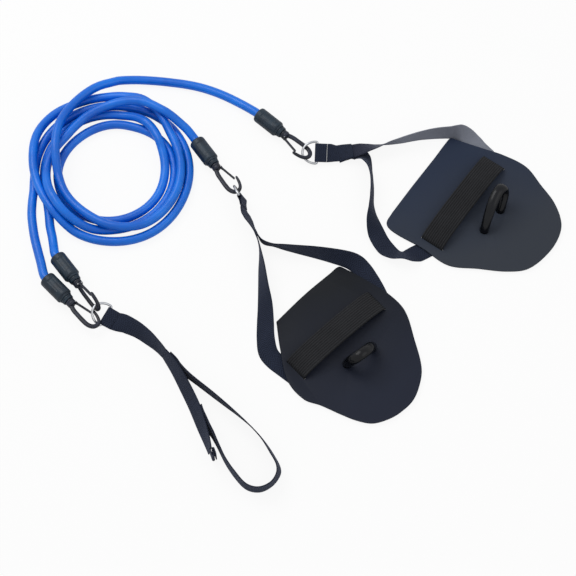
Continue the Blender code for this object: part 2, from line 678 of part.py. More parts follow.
strap("strap_2_lead", [
    (-58.0, 106.5, 112, 3.0), (-55.4, 100.5, 119, 2.2), (-52.2, 94.0, 118, 1.4), (-49.0, 87.5, 112, 0.6),
    (-45.4, 80.0, 106, 0.1), (-42.9, 73.8, 101, 0)],
    start="paddle_2")
strap("strap_2_left", [
    (-42.7, 73.2, 100, 0), (-39, 62.0, 96, 0), (-36.5, 45.0, 86, 0), (-34.5, 25.0, 72, 0),
    (-32, -4.0, 58, 0),
    (-29.5, -30.0, 40, 0), (-29, -54.0, 28, 0), (-28.5, -74.0, 22, 0), (-25.3, -91.5, 7, 0),
    (-17.5, -102.0, 0, 0),
    (-5.5, -112.0, 0, 0), (6.5, -121.6, 0, 0), (17, -130.0, 0, 0)])
strap("strap_2_right", [
    (-40.7, 73.9, 100, 0), (-37.8, 67.0, 100, 0), (-32, 60.6, 103, 0), (-20, 56.6, 108, 0),
    (-5, 53.2, 99, 0),
    (14, 49.6, 89, 0), (35, 45.8, 78, 0), (58, 41.0, 65, 0), (78, 36.0, 50, 0), (90, 31.0, 26, 0),
    (98.5, 23.5, 6, 0), (106, 12.0, 0, 0), (113, -2.0, 0, 0), (119, -16.0, 0, 0)])
strap("anchor_strap", [
    (-207.9, -55.0, 40, 0.2), (-192.5, -63.7, 54, 0), (-177.4, -75.6, 63, 0), (-165.5, -87.0, 73, 0),
    (-157.2, -96.6, 77, 0)], start="anchor")
strap("anchor_tail", [
    (-156.9, -97.1, 77, 0), (-147, -110.5, 68, 0), (-140.4, -121.0, 64, 0), (-128.4, -144.0, 60, 0),
    (-116.8, -168.4, 59, 0), (-107.6, -192.5, 63, 0), (-100.2, -213.3, 72, 0), (-96.0, -227.0, 80, 0)])
strap("anchor_loop", [
    (-150.7, -102.1, 72, 0), (-144.4, -108.9, 71, 0), (-136.5, -117.0, 80, 0), (-126, -126.5, 88, 0),
    (-114, -136.5, 91, 0), (-98, -149.5, 92, 0), (-80, -164.5, 95, 0), (-63, -179.0, 100, 0),
    (-47, -194.0, 103, 0),
    (-31.5, -212.0, 102, 0), (-19, -232.0, 104, 0), (-11.5, -248.5, 102, 0), (-14, -261.0, 93, 0),
    (-23, -271.5, 88, 0),
    (-36.5, -276.5, 88, 0), (-51, -272.5, 90, 0), (-64.5, -258.0, 92, 0), (-76.6, -240.0, 91, 0),
    (-86, -220.5, 92, 0),
    (-93, -206.0, 96, 0), (-99.2, -196.0, 102, 0), (-104.6, -187.5, 110, 0), (-109.6, -180.0, 118, 0),
    (-113.2, -171.0, 120, 0)])


def paddle(number, outline, elastic, loop):
    """Board, elastic hand band and rubber finger loop with its two stops."""
    line = smooth_line([(x, y, 0) for x, y in outline + outline[:1]], 3)[:-1]
    board = to_mesh(flat_plate("paddle_%d_board" % number, [(p.x, p.y) for p in line], PADDLE_THICK,
                               PADDLE_EDGE))
    middle = PADDLE_UNDER + PADDLE_THICK / 2
    finish(place(board, layout, at=(0, 0, middle)), "board")
    low, high = [Vector((*p, 0)) for p in elastic]
    along = (high - low).normalized()
    side = Vector((-along.y, along.x, 0))
    for k, end in enumerate((low, high)):
        slot = block("elastic_slot_%d_%d" % (number, k), (-1.6, -ELASTIC_WIDTH / 2 - 0.9, 0),
                     (1.6, ELASTIC_WIDTH / 2 + 0.9, 12))
        slot.rotation_euler = (0, 0, math.atan2(along.y, along.x))
        boolean(board, place(slot, layout, at=end, as_cutter=True), "DIFFERENCE")
    for k, foot in enumerate((loop[0], loop[-1])):
        hole = pillar("loop_hole_%d_%d" % (number, k), LOOP_RADIUS + SEAT_GAP + 0.2, 0, 12, 20)
        boolean(board, place(hole, layout, at=(foot[0], foot[1], 0), as_cutter=True), "DIFFERENCE")
    top = PADDLE_UNDER + PADDLE_THICK
    span = (high - low).length
    shape = [(0.0, PADDLE_UNDER + 0.1), (0.0, PADDLE_UNDER + 1.5), (0.1, top), (0.7, top + 1.8),
             (2.6, top + 4.0),
             (9.0, top + 7.0), (24.0, top + 10.6), (46.0, top + ELASTIC_RISE)]
    points = [low + along * s + Vector((0, 0, z)) for s, z in shape]
    points += [low + along * span / 2 + Vector((0, 0, top + ELASTIC_RISE + 0.4))]
    points += [high - along * s + Vector((0, 0, z)) for s, z in reversed(shape)]
    fine = smooth_line(points, 2)
    frames = []
    for k, p in enumerate(fine):
        before, after = fine[max(k - 1, 0)], fine[min(k + 1, len(fine) - 1)]
        frames.append((p, side, side.cross((after - before).normalized()) * -1))
    ribbon("paddle_%d_hand_elastic" % number, frames, ELASTIC_WIDTH, ELASTIC_THICK, "elastic")
    path = smooth_line(loop, 3)
    finish(place(wire("paddle_%d_finger_loop" % number, path, LOOP_RADIUS), layout), "rubber")
    for k, foot in enumerate((loop[0], loop[-1])):
        low_face, high_face = SEAT_GAP, foot[2] - SEAT_GAP
        stop = pillar("paddle_%d_loop_stop_%s" % (number, "ab"[k]), LOOP_STOP_RADIUS, low_face, high_face,
                      20)
        finish(place(stop, layout, at=(foot[0], foot[1], 0)), "rubber")


PADDLE_1 = [(138, 108), (166, 148), (198, 192), (214, 215), (221, 222.5), (229, 220), (262, 207.5),
            (292, 196),
            (321, 178), (339, 150), (355, 123), (362, 94), (357, 72), (341, 48), (314, 26), (286, 22),
            (248, 26),
            (209, 31), (176, 56), (140, 79), (130.5, 92)]
PADDLE_2 = [(-15, -50), (22, -11), (55, 19), (66, 28.5), (74, 26), (105, 7), (132, -12), (151, -35),
            (162, -76),
            (169, -109), (168, -129), (158, -156), (140, -174), (124, -183), (105, -188), (85, -184),
            (66, -176),
            (41, -164), (20, -156), (0, -132), (-10, -88)]
paddle(1, PADDLE_1, [(189.5, 62.5), (277.5, 183.5)],
       [(259, 82, 1.6), (259, 82, 4), (259, 82, 7), (260, 85, 14), (263.5, 95, 25), (269, 109, 34.5),
        (276, 122, 38.5),
        (282.5, 129, 35.5), (285.5, 127, 26), (284, 117.5, 14), (282.3, 112.4, 7), (282, 112, 4),
        (282, 112, 1.6)])
paddle(2, PADDLE_2, [(10, -116.5), (114, -21)],
       [(75, -109, 1.6), (75, -109, 4), (75, -109, 7), (76, -110.5, 15), (80.5, -112, 27),
        (88, -110, 34.5), (96.5, -103.5, 34.5),
        (103.5, -95, 27), (106.8, -88.5, 15), (107, -87, 7), (107, -87, 4), (107, -87, 1.6)])

# Folded and sewn end of the anchor strap's tail: three layers standing on edge
HEM_TURN = 1.2
HEM_LENGTH = 8.0
hem = [(0.0, 0.0), (HEM_LENGTH, 0.0)]
hem += [(HEM_LENGTH + x, HEM_TURN + y) for x, y in arc(0, 0, HEM_TURN, -90, 90, 6)]
hem += [(2.0, 2 * HEM_TURN)]
hem += [(2.0 + x, 3 * HEM_TURN + y) for x, y in arc(0, 0, HEM_TURN, -90, -270, 6)]
hem += [(HEM_LENGTH + 1.0, 4 * HEM_TURN)]
hem_start = Vector((-95.9, -227.3, 0.0))
hem_turn = Matrix.Rotation(math.radians(-70.0), 3, "Z")
hem_frames = []
for k, (x, y) in enumerate(hem):
    before, after = hem[max(k - 1, 0)], hem[min(k + 1, len(hem) - 1)]
    along = hem_turn @ Vector((after[0] - before[0], after[1] - before[1], 0)).normalized()
    up = Vector((0, 0, 1))
    hem_frames.append((hem_start + hem_turn @ Vector((x, y, 0)) + up * WEB_WIDTH / 2, up, along.cross(up)))
ribbon("anchor_tail_hem", hem_frames, WEB_WIDTH, WEB_THICK, "webbing")
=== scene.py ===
import math

import bmesh
import bpy
from mathutils import Matrix, Vector

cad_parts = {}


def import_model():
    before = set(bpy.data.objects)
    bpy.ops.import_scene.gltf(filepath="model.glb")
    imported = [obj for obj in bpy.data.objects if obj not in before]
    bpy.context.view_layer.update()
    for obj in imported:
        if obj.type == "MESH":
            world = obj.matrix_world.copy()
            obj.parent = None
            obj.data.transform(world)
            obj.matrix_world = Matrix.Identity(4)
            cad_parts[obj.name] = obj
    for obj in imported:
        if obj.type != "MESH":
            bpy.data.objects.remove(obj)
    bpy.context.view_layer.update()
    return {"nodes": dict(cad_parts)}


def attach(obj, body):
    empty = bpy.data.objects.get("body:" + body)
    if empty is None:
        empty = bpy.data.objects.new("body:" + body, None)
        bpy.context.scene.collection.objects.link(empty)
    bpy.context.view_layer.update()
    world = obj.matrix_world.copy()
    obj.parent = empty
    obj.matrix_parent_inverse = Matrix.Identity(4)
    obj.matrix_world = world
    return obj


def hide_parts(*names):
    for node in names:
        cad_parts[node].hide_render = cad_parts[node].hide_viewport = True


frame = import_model()
print("frame loaded:", len(frame["nodes"]), "nodes")

mm = 0.001
layoutShift = Vector((-21.36, 7.24, 0.0))  # the layout was drawn about the picture's middle, in mm


def world(point):
    return (Vector(point) + layoutShift) * mm


# Camera at the photograph's angle
view = {"elevation": 65.0, "distance": 2.0, "lens": 96.1, "sensor": 36, "aim": world((0, 0, 0))}
camera = bpy.data.objects.new("camera", bpy.data.cameras.new("camera"))
bpy.context.scene.collection.objects.link(camera)
tilt = math.radians(view["elevation"])
camera.location = view["aim"] + Vector((0, -math.cos(tilt), math.sin(tilt))) * view["distance"]
camera.rotation_euler = (math.pi / 2 - tilt, 0, 0)
camera.data.lens = view["lens"]
camera.data.sensor_width = view["sensor"]
bpy.context.scene.camera = camera


# Shader maths: a wrapped socket, and a finish that makes nodes for it
class Shade:
    def __init__(self, tree, socket):
        self.tree = tree
        self.socket = socket

    def maths(self, operation, first, second):
        node = self.tree.nodes.new("ShaderNodeMath")
        node.operation = operation
        for slot, value in zip(node.inputs, (first, second)):
            if isinstance(value, Shade):
                self.tree.links.new(value.socket, slot)
            elif value is not None:
                slot.default_value = value
        return Shade(self.tree, node.outputs[0])

    def __add__(self, other):
        return self.maths("ADD", self, other)

    def __radd__(self, other):
        return self.maths("ADD", other, self)

    def __sub__(self, other):
        return self.maths("SUBTRACT", self, other)

    def __rsub__(self, other):
        return self.maths("SUBTRACT", other, self)

    def __mul__(self, other):
        return self.maths("MULTIPLY", self, other)

    def __rmul__(self, other):
        return self.maths("MULTIPLY", other, self)

    def __truediv__(self, other):
        return self.maths("DIVIDE", self, other)

    def __pow__(self, other):
        return self.maths("POWER", self, other)


def tone(red, green, blue):
    def linear(value):
        value /= 255
        return value / 12.92 if value <= 0.04045 else ((value + 0.055) / 1.055) ** 2.4

    return (linear(red), linear(green), linear(blue), 1.0)


class Finish:
    def __init__(self, name, **constants):
        self.material = bpy.data.materials.new(name)
        self.material.use_nodes = True
        self.tree = self.material.node_tree
        self.shader = self.tree.nodes["Principled BSDF"]
        for socket, value in constants.items():
            self.shader.inputs[socket.replace("_", " ")].default_value = value

    def node(self, kind, settings=None, sockets=None, out=0):
        node = self.tree.nodes.new(kind)
        for key, value in (settings or {}).items():
            setattr(node, key, value)
        for key, value in (sockets or {}).items():
            slot = node.inputs[key]
            if isinstance(value, Shade):
                self.tree.links.new(value.socket, slot)
            else:
                slot.default_value = value
        return Shade(self.tree, node.outputs[out])

    def feed(self, socket, value):
        self.tree.links.new(value.socket, self.shader.inputs[socket])

    def places(self):
        return self.node("ShaderNodeTexCoord", out="Object")

    def noise(self, scale, detail=3.0, rough=0.5):
        return self.node("ShaderNodeTexNoise", None, {"Vector": self.places(), "Scale": scale,
                                                      "Detail": detail, "Roughness": rough}, out="Fac")

    def curve(self, operation, value, second=None):
        return value.maths(operation, value, second)

    def blendTones(self, amount, first, second):
        return self.node("ShaderNodeMix", {"data_type": "RGBA"}, {0: amount, 6: first, 7: second}, out=2)

    def limits(self, value, low, high, to=(0.0, 1.0)):
        return self.node("ShaderNodeMapRange", {"clamp": True}, {
            "Value": value, "From Min": low, "From Max": high, "To Min": to[0], "To Max": to[1]})

    def colour(self, value, low, high, first, second):
        self.feed("Base Color", self.blendTones(self.limits(value, low, high), first, second))

    def relief(self, height, distance, strength=1.0):
        self.feed("Normal", self.node("ShaderNodeBump", None, {
            "Height": height, "Distance": distance, "Strength": strength}))


def latexFinish():
    look = Finish("latex", Coat_Weight=0.16, Coat_Roughness=0.2, Specular_IOR_Level=0.3)
    cloudy = look.noise(22.0, 3.0)
    specks = look.noise(1400.0, 2.0)
    look.colour(cloudy, 0.3, 0.7, tone(0, 96, 206), tone(6, 122, 236))
    look.feed("Roughness", look.limits(look.noise(160.0, 4.0), 0.3, 0.75, (0.3, 0.44)))
    look.relief(specks, 0.00004, 0.5)
    return look.material


# Cloth looks read the piece's cloth map in metres; the last argument is (start, end, tone) of a painted
# sheen that lightens the colour along the strap
def wovenFinish(name, dark, light, ribs, picks, sheen, relief, paintedSheen=None):
    look = Finish(name, Sheen_Weight=sheen, Sheen_Roughness=0.45, Specular_IOR_Level=0.12)
    look.shader.inputs["Sheen Tint"].default_value = tone(150, 156, 176)
    cloth = look.node("ShaderNodeUVMap", {"uv_map": "cloth"})
    along = look.node("ShaderNodeSeparateXYZ", None, {"Vector": cloth})
    across = Shade(look.tree, along.socket.node.outputs["Y"])
    chevron = look.curve("PINGPONG", across, ribs * 3.0)
    twill = look.curve("SINE", (along + chevron * 0.9) * (2 * math.pi / picks))
    cords = look.curve("SINE", across * (2 * math.pi / ribs))
    height = twill * 0.35 + cords * 0.3 + 0.5
    fuzz = look.noise(900.0, 4.0, 0.6)
    mottled = look.noise(26.0, 4.0)
    # Painted shade: the colour follows the weave's height, darker in the low places between threads and
    # lighter on the raised ones; fuzz and mottling add random tone
    shade = look.limits(height * 0.55 + fuzz * 0.35 + mottled * 0.3, 0.3, 0.95)
    colour = look.blendTones(shade, dark, light)
    # Painted sheen: the colour blends towards a pale sheen tone along the strap
    if paintedSheen:
        start, end, sheenTone = paintedSheen
        colour = look.blendTones(look.limits(along, start, end, (0.0, 0.8)), colour, sheenTone)
    look.feed("Base Color", colour)
    look.feed("Roughness", look.limits(fuzz, 0.3, 0.7, (0.66, 0.86)))
    look.relief(height + fuzz * 0.35, relief, 0.8)
    return look.material


def mouldingFinish():
    look = Finish("capMoulding", Coat_Weight=0.08, Coat_Roughness=0.25, Specular_IOR_Level=0.3)
    wear = look.noise(70.0, 6.0, 0.65)
    grain = look.noise(2200.0, 2.0)
    look.colour(wear, 0.35, 0.7, tone(10, 24, 38), tone(34, 52, 66))
    look.feed("Roughness", look.limits(wear, 0.3, 0.7, (0.34, 0.5)))
    look.relief(grain + wear * 0.6, 0.00005, 0.6)
    return look.material


def hookFinish():
    look = Finish("hookNylon", Coat_Weight=0.06, Coat_Roughness=0.25, Specular_IOR_Level=0.3)
    wear = look.noise(120.0, 5.0, 0.6)
    look.colour(wear, 0.4, 0.75, tone(15, 19, 30), tone(38, 44, 62))
    look.feed("Roughness", look.limits(wear, 0.3, 0.7, (0.3, 0.46)))
    look.relief(look.noise(1800.0, 3.0), 0.00004, 0.5)
    return look.material


def steelFinish():
    look = Finish("platedSteel", Metallic=1.0)
    stain = look.noise(90.0, 5.0, 0.6)
    scratch = look.noise(1500.0, 3.0)
    look.colour(stain, 0.35, 0.7, tone(150, 153, 160), tone(196, 197, 198))
    look.feed("Roughness", look.limits(stain + scratch * 0.3, 0.4, 0.95, (0.12, 0.3)))
    look.relief(scratch, 0.00003, 0.4)
    return look.material


def boardFinish(name, upperSheenTone, lowerSheenTone, middle, reach):
    look = Finish(name, Specular_IOR_Level=0.16)
    grain = look.noise(1300.0, 4.0, 0.6)
    cloudy = look.noise(9.0, 4.0, 0.6)
    spots = look.noise(260.0, 5.0, 0.7)
    # Painted sheen: the base colour blends from the upper tone at the board's upper left to the lower tone
    # at its lower right, about the given middle and over the given reach in mm; cloudy and spot noise add
    # random tone
    spot = look.node("ShaderNodeSeparateXYZ", None, {"Vector": look.places()})
    upward = Shade(look.tree, spot.socket.node.outputs["Y"])
    slope = (spot - middle[0] * mm) * 0.55 - (upward - middle[1] * mm)
    blend = look.limits(slope + (cloudy - 0.5) * 0.1 + (spots - 0.5) * 0.03, -reach * mm, reach * mm)
    look.feed("Base Color", look.blendTones(blend, upperSheenTone, lowerSheenTone))
    look.feed("Roughness", look.limits(cloudy + spots * 0.3, 0.4, 0.85, (0.44, 0.58)))
    look.relief(grain + spots * 0.4, 0.00008, 0.7)
    return look.material


def rubberFinish():
    look = Finish("fingerRubber", Coat_Weight=0.12, Coat_Roughness=0.12, Specular_IOR_Level=0.15)
    cloudy = look.noise(60.0, 3.0)
    look.colour(cloudy, 0.3, 0.7, tone(4, 5, 8), tone(14, 16, 22))
    look.feed("Roughness", look.limits(look.noise(200.0, 4.0), 0.3, 0.75, (0.2, 0.36)))
    look.relief(look.noise(900.0, 3.0), 0.00004, 0.4)
    return look.material


def threadFinish():
    look = Finish("stitchThread", Specular_IOR_Level=0.1)
    fuzz = look.noise(1600.0, 3.0)
    look.feed("Base Color", look.blendTones(fuzz, tone(14, 18, 28), tone(36, 42, 56)))
    look.feed("Roughness", look.limits(fuzz, 0.3, 0.7, (0.5, 0.7)))
    return look.material


looks = {
    "latex": latexFinish(),
    "webbing": wovenFinish("webbing", tone(15, 19, 30), tone(48, 56, 76), 0.0016, 0.0030, 0.25, 0.00028),
    # Painted sheen on the upper strap: its colour lightens towards a pale tone along the strap where it
    # turns on edge
    "sheenPaintedWebbing": wovenFinish("sheenPaintedWebbing", tone(17, 19, 30), tone(50, 54, 72), 0.0016, 0.0030, 0.3,
                               0.00028, (0.045, 0.085, tone(140, 144, 156))),
    "elastic": wovenFinish("elasticBand", tone(2, 2, 4), tone(58, 59, 62), 0.0030, 0.0016, 0.0, 0.00045),
    "moulding": mouldingFinish(),
    "hook": hookFinish(),
    "steel": steelFinish(),
    # Each board's painted sheen: upper tone, lower tone, the middle of the blend and its reach, in mm
    "board_1": boardFinish("boardOne", tone(36, 46, 66), tone(52, 57, 66), (225, 130), 75),
    "board_2": boardFinish("boardTwo", tone(12, 16, 23), tone(30, 35, 50), (75, -60), 95),
    "rubber": rubberFinish(),
    "thread": threadFinish(),
}
print("materials made:", len(looks))


def clearSelection():
    if bpy.context.object and bpy.context.object.mode != "OBJECT":
        bpy.ops.object.mode_set(mode="OBJECT")
    bpy.ops.object.select_all(action="DESELECT")


def choose(piece):
    clearSelection()
    piece.select_set(True)
    bpy.context.view_layer.objects.active = piece


def applyModifiers(piece):
    choose(piece)
    for modifier in list(piece.modifiers):
        bpy.ops.object.modifier_apply(modifier=modifier.name)


def settle(piece, look, body, nodes=(), smooth=40.0):
    choose(piece)
    bpy.ops.object.transform_apply(location=True, rotation=True, scale=True)
    piece.data.materials.clear()
    piece.data.materials.append(looks[look])
    bpy.ops.object.shade_smooth_by_angle(angle=math.radians(smooth))
    if nodes:
        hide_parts(*nodes)
    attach(piece, body)
    return piece


def newPiece(name, points, faces, edges=()):
    mesh = bpy.data.meshes.new(name)
    mesh.from_pydata([tuple(p) for p in points], list(edges), faces)
    piece = bpy.data.objects.new(name, mesh)
    bpy.context.scene.collection.objects.link(piece)
    return piece


def copyOf(piece, name, matrix):
    twin = bpy.data.objects.new(name, piece.data.copy())
    bpy.context.scene.collection.objects.link(twin)
    twin.matrix_world = matrix
    return twin


def discard(piece):
    bpy.data.objects.remove(piece, do_unlink=True)


# Leaves edit mode with every face looking outward
def faceOutward(merge=False):
    bpy.ops.mesh.select_all(action="SELECT")
    if merge:
        bpy.ops.mesh.remove_doubles(threshold=0.000002)
    bpy.ops.mesh.normals_make_consistent(inside=False)
    bpy.ops.object.mode_set(mode="OBJECT")


# A profile in (x, radius), in mm, spun round the X axis
def spun(name, profile, steps=72):
    count = len(profile)
    piece = newPiece(name, [(x * mm, 0, radius * mm) for x, radius in profile], [],
                     [(k, (k + 1) % count) for k in range(count)])
    choose(piece)
    bpy.ops.object.mode_set(mode="EDIT")
    bpy.ops.mesh.select_all(action="SELECT")
    bpy.ops.mesh.spin(steps=steps, angle=2 * math.pi, center=(0, 0, 0), axis=(1, 0, 0))
    faceOutward(merge=True)
    return piece


def clamped(value):
    return max(0.0, min(1.0, value))


def beside(items, k):
    return items[max(k - 1, 0)], items[min(k + 1, len(items) - 1)]


def between(t, start, leaving, end, arriving, span=1.0):
    return ((2 * t**3 - 3 * t**2 + 1) * start + (t**3 - 2 * t**2 + t) * leaving * span
            + (3 * t**2 - 2 * t**3) * end + (t**3 - t**2) * arriving * span)


# The value at a place on a smooth curve through keys; join makes a key's slope of those beside it
def valueAt(keys, at, join):
    last = len(keys) - 1

    def rise(k):
        return (keys[k + 1][1] - keys[k][1]) / (keys[k + 1][0] - keys[k][0])

    def slope(k):
        if k == 0 or k == last:
            return rise(0 if k == 0 else last - 1)
        return join(rise(k - 1), rise(k))

    k = 0
    while k < last - 1 and keys[k + 1][0] < at:
        k += 1
    span = keys[k + 1][0] - keys[k][0]
    return between((at - keys[k][0]) / span, keys[k][1], slope(k), keys[k + 1][1], slope(k + 1), span)


def middleSlope(below, above):
    return (below + above) / 2


def steadySlope(below, above):  # never overshoots a key
    return 2 * below * above / (below + above) if below * above > 0 else 0.0


def smoothLine(points, perSpan):
    spots = [Vector(p) for p in points]
    line = []
    for k in range(len(spots) - 1):
        before = spots[max(k - 1, 0)]
        after = spots[min(k + 2, len(spots) - 1)]
        here, there = spots[k], spots[k + 1]
        span = (there - here).length
        leaving = (there - before) * (span / max((there - before).length, 1e-6))
        arriving = (after - here) * (span / max((after - here).length, 1e-6))
        line += [between(step / perSpan, here, leaving, there, arriving) for step in range(perSpan)]
    line.append(spots[-1])
    return line


def arc(middleX, middleY, radius, start, end, count):
    turns = [math.radians(start + (end - start) * k / count) for k in range(count + 1)]
    return [(middleX + radius * math.cos(turn), middleY + radius * math.sin(turn)) for turn in turns]


def turned(spot):
    heading = Matrix.Rotation(math.radians(spot["heading"]), 4, "Z")
    return heading @ Matrix.Rotation(math.radians(spot["pitch"]), 4, "Y")


# Tube ends: the hook side of each cap, its heading and pitch, and the roll of its hook
connectors = {
    "paddle_1": {"neck": (-11.4, 230.25, 10.95), "heading": -41.8, "pitch": 0.9, "roll": 169.7},
    "paddle_2": {"neck": (-101.45, 180.35, 13.05), "heading": -55.4, "pitch": -0.1, "roll": -1.1},
    "anchor_1": {"neck": (-277.6, 7.9, 12.65), "heading": -52.5, "pitch": 0.1, "roll": 73.4},
    "anchor_2": {"neck": (-285.5, -20.65, 13.15), "heading": -45.9, "pitch": 0.1, "roll": -9.3},
}
capLength = 38.8
tubeInCap = 21.0
for tag, spot in connectors.items():
    turn = turned(spot)
    neck = Matrix.Translation(world(spot["neck"])) @ turn
    spot["tail"] = Vector(spot["neck"]) - turn.to_3x3() @ Vector((capLength, 0, 0))
    spot["back"] = turn.to_3x3() @ Vector((-1, 0, 0))
    spot["neck"] = neck
    spot["hook"] = neck @ Matrix.Rotation(math.radians(spot["roll"]), 4, "X")

# Two latex tubes: coil keys are angle round the coil, radius and height, in degrees and mm
tubes = {
    "radius": 6.0, "coilMiddle": (-236.0, 167.0, 0.0), "step": 3.0, "out": 4.0, "perSpan": 6,
    "coilOne": [
        (94, 138.6, 13.5), (100, 133.4, 16.8), (106, 127, 19.4), (116, 117, 21.5), (128, 106, 24.5),
        (143, 92, 31.5), (158, 81, 31.8), (172, 74, 28), (190, 70.5, 21), (215, 70, 19), (240, 72.5, 19),
        (255, 77, 19.3), (270, 84, 19.5), (285, 90, 18.5), (300, 93.5, 16), (330, 93.5, 15),
        (360, 92.5, 15.2), (385, 93.5, 15.2), (398, 96.3, 16), (408, 101.5, 18.6), (418, 108, 19),
        (430, 115, 18), (445, 119.5, 9.5), (460, 120.5, 6.5), (475, 121.5, 6.5), (495, 123, 8.5),
        (512, 117.3, 15), (528, 108.5, 19), (545, 101.8, 19.3), (563, 97.3, 19.3), (578, 96.3, 18.5),
        (590, 97.3, 14), (605, 99.8, 8), (625, 101.8, 6.3), (660, 105.5, 6.3), (700, 103.3, 6.3),
        (740, 103.8, 6.3), (770, 105, 6.3), (800, 105, 6.3), (830, 106.5, 6.3), (860, 107, 6.3),
        (885, 105.2, 6.3), (900, 104, 6.3), (908, 105, 6.3)],
    "coilTwo": [
        (56, 106, 31.7), (64, 105.3, 32), (73, 103.5, 30.5), (86, 101, 24), (98, 97, 20), (112, 90.5, 19),
        (128, 84, 19), (143, 81, 19), (160, 83.5, 19), (180, 86, 20.5), (198, 87, 25.5), (213, 87.5, 29),
        (228, 89, 25.8), (242, 89.5, 18.2), (256, 88.5, 10), (270, 86, 6.5), (300, 85, 6.3),
        (330, 84, 6.3), (360, 83.5, 6.3), (385, 83, 6.3), (405, 80.5, 6.3), (430, 76.5, 6.3),
        (450, 76, 6.3), (490, 72.5, 6.3), (540, 73, 6.3), (580, 73, 6.3), (620, 72.5, 6.3),
        (660, 71.3, 6.3), (690, 71, 7), (720, 71, 10), (745, 73.6, 14.6), (760, 78, 19),
        (775, 83.5, 18.9), (790, 88.5, 13), (806, 90.5, 6.8), (840, 93.5, 6.3), (870, 93.1, 6.3),
        (890, 91.8, 6.3), (908, 91.2, 6.3), (922, 93.5, 6.3)],
    "leads": {
        "paddle_1": [(-71.0, 278.2, 8.8), (-93.5, 290.8, 7.8), (-116.0, 300.4, 6.9), (-138.0, 306.5, 6.4),
                     (-160.5, 310.2, 6.3), (-182.5, 312.8, 6.4), (-204.5, 313.9, 7.0),
                     (-221.0, 312.9, 8.5)],
        "paddle_2": [(-136.5, 228.6, 17.0), (-146.5, 236.2, 22.5), (-157.0, 243.2, 28.3)],
        "anchor_1": [(-316.9, 105.0, 6.3), (-314.4, 87.4, 6.4), (-310.0, 69.6, 6.9), (-307.2, 56.0, 8.6)],
        "anchor_2": [(-340.3, 124.0, 6.3), (-339.8, 105.0, 6.3), (-337.1, 87.0, 6.4), (-333.2, 69.0, 6.8),
                     (-328.0, 51.0, 7.8), (-322.3, 32.5, 10.0)],
    },
}


def coilPoints(keys):
    first, last = keys[0][0], keys[-1][0]
    count = round((last - first) / tubes["step"])
    points = []
    for k in range(count + 1):
        angle = first + (last - first) * k / count
        radius = valueAt(keys, angle, middleSlope)
        height = valueAt([(key[0], key[2]) for key in keys], angle, steadySlope)
        turn = math.radians(angle)
        points.append(Vector(tubes["coilMiddle"])
                      + Vector((radius * math.cos(turn), radius * math.sin(turn), height)))
    return points


def leadPoints(tag, points, arrive, arriveWay):
    spot, perSpan = connectors[tag], tubes["perSpan"]
    straight = 2 * tubes["radius"]
    leave = spot["tail"] + spot["back"] * tubes["out"]
    free = [leave - spot["back"] * straight, leave] + [Vector(p) for p in points]
    smooth = smoothLine(free + [arrive - arriveWay * straight, arrive], perSpan)
    inside = spot["tail"] - spot["back"] * tubeInCap
    return [inside] + smooth[perSpan:-perSpan] + [arrive - arriveWay * straight * 0.5, arrive]


def makeTube(name, keys, handTag, anchorTag, nodes):
    coil = coilPoints(keys)
    into = (coil[1] - coil[0]).normalized()
    outOf = (coil[-1] - coil[-2]).normalized()
    first = leadPoints(handTag, tubes["leads"][handTag], coil[0], into)
    last = leadPoints(anchorTag, list(reversed(tubes["leads"][anchorTag])), coil[-1], -outOf)
    last.reverse()
    route = [world(p) for p in first[:-1] + coil + last[1:]]
    curve = bpy.data.curves.new(name, "CURVE")
    curve.dimensions = "3D"
    curve.bevel_depth = tubes["radius"] * mm
    curve.bevel_resolution = 5
    curve.use_fill_caps = True
    line = curve.splines.new("POLY")
    line.points.add(len(route) - 1)
    for point, place in zip(line.points, route):
        point.co = (*place, 1.0)
    line.use_smooth = True
    piece = bpy.data.objects.new(name, curve)
    bpy.context.scene.collection.objects.link(piece)
    curve.materials.append(looks["latex"])
    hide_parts(*nodes)
    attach(piece, "frame")


makeTube("tubeOne", tubes["coilOne"], "paddle_1", "anchor_2",
         ("tube_1_coil", "tube_1_lead_paddle_1", "tube_1_lead_anchor_2"))
makeTube("tubeTwo", tubes["coilTwo"], "paddle_2", "anchor_1",
         ("tube_2_coil", "tube_2_lead_paddle_2", "tube_2_lead_anchor_1"))

# Moulded cap over each tube end
capSizes = {
    "radius": 10.8, "mouth": 6.3, "web": 14.0, "bore": 2.3,
    "panel": (-31.0, -11.0, 24.0), "panelDepth": 0.6, "panelEdge": (1.2, 5.0),
    "seam": 0.16, "seamTurn": 4.5, "wallInside": 8, "wallEnd": -3.5,
}


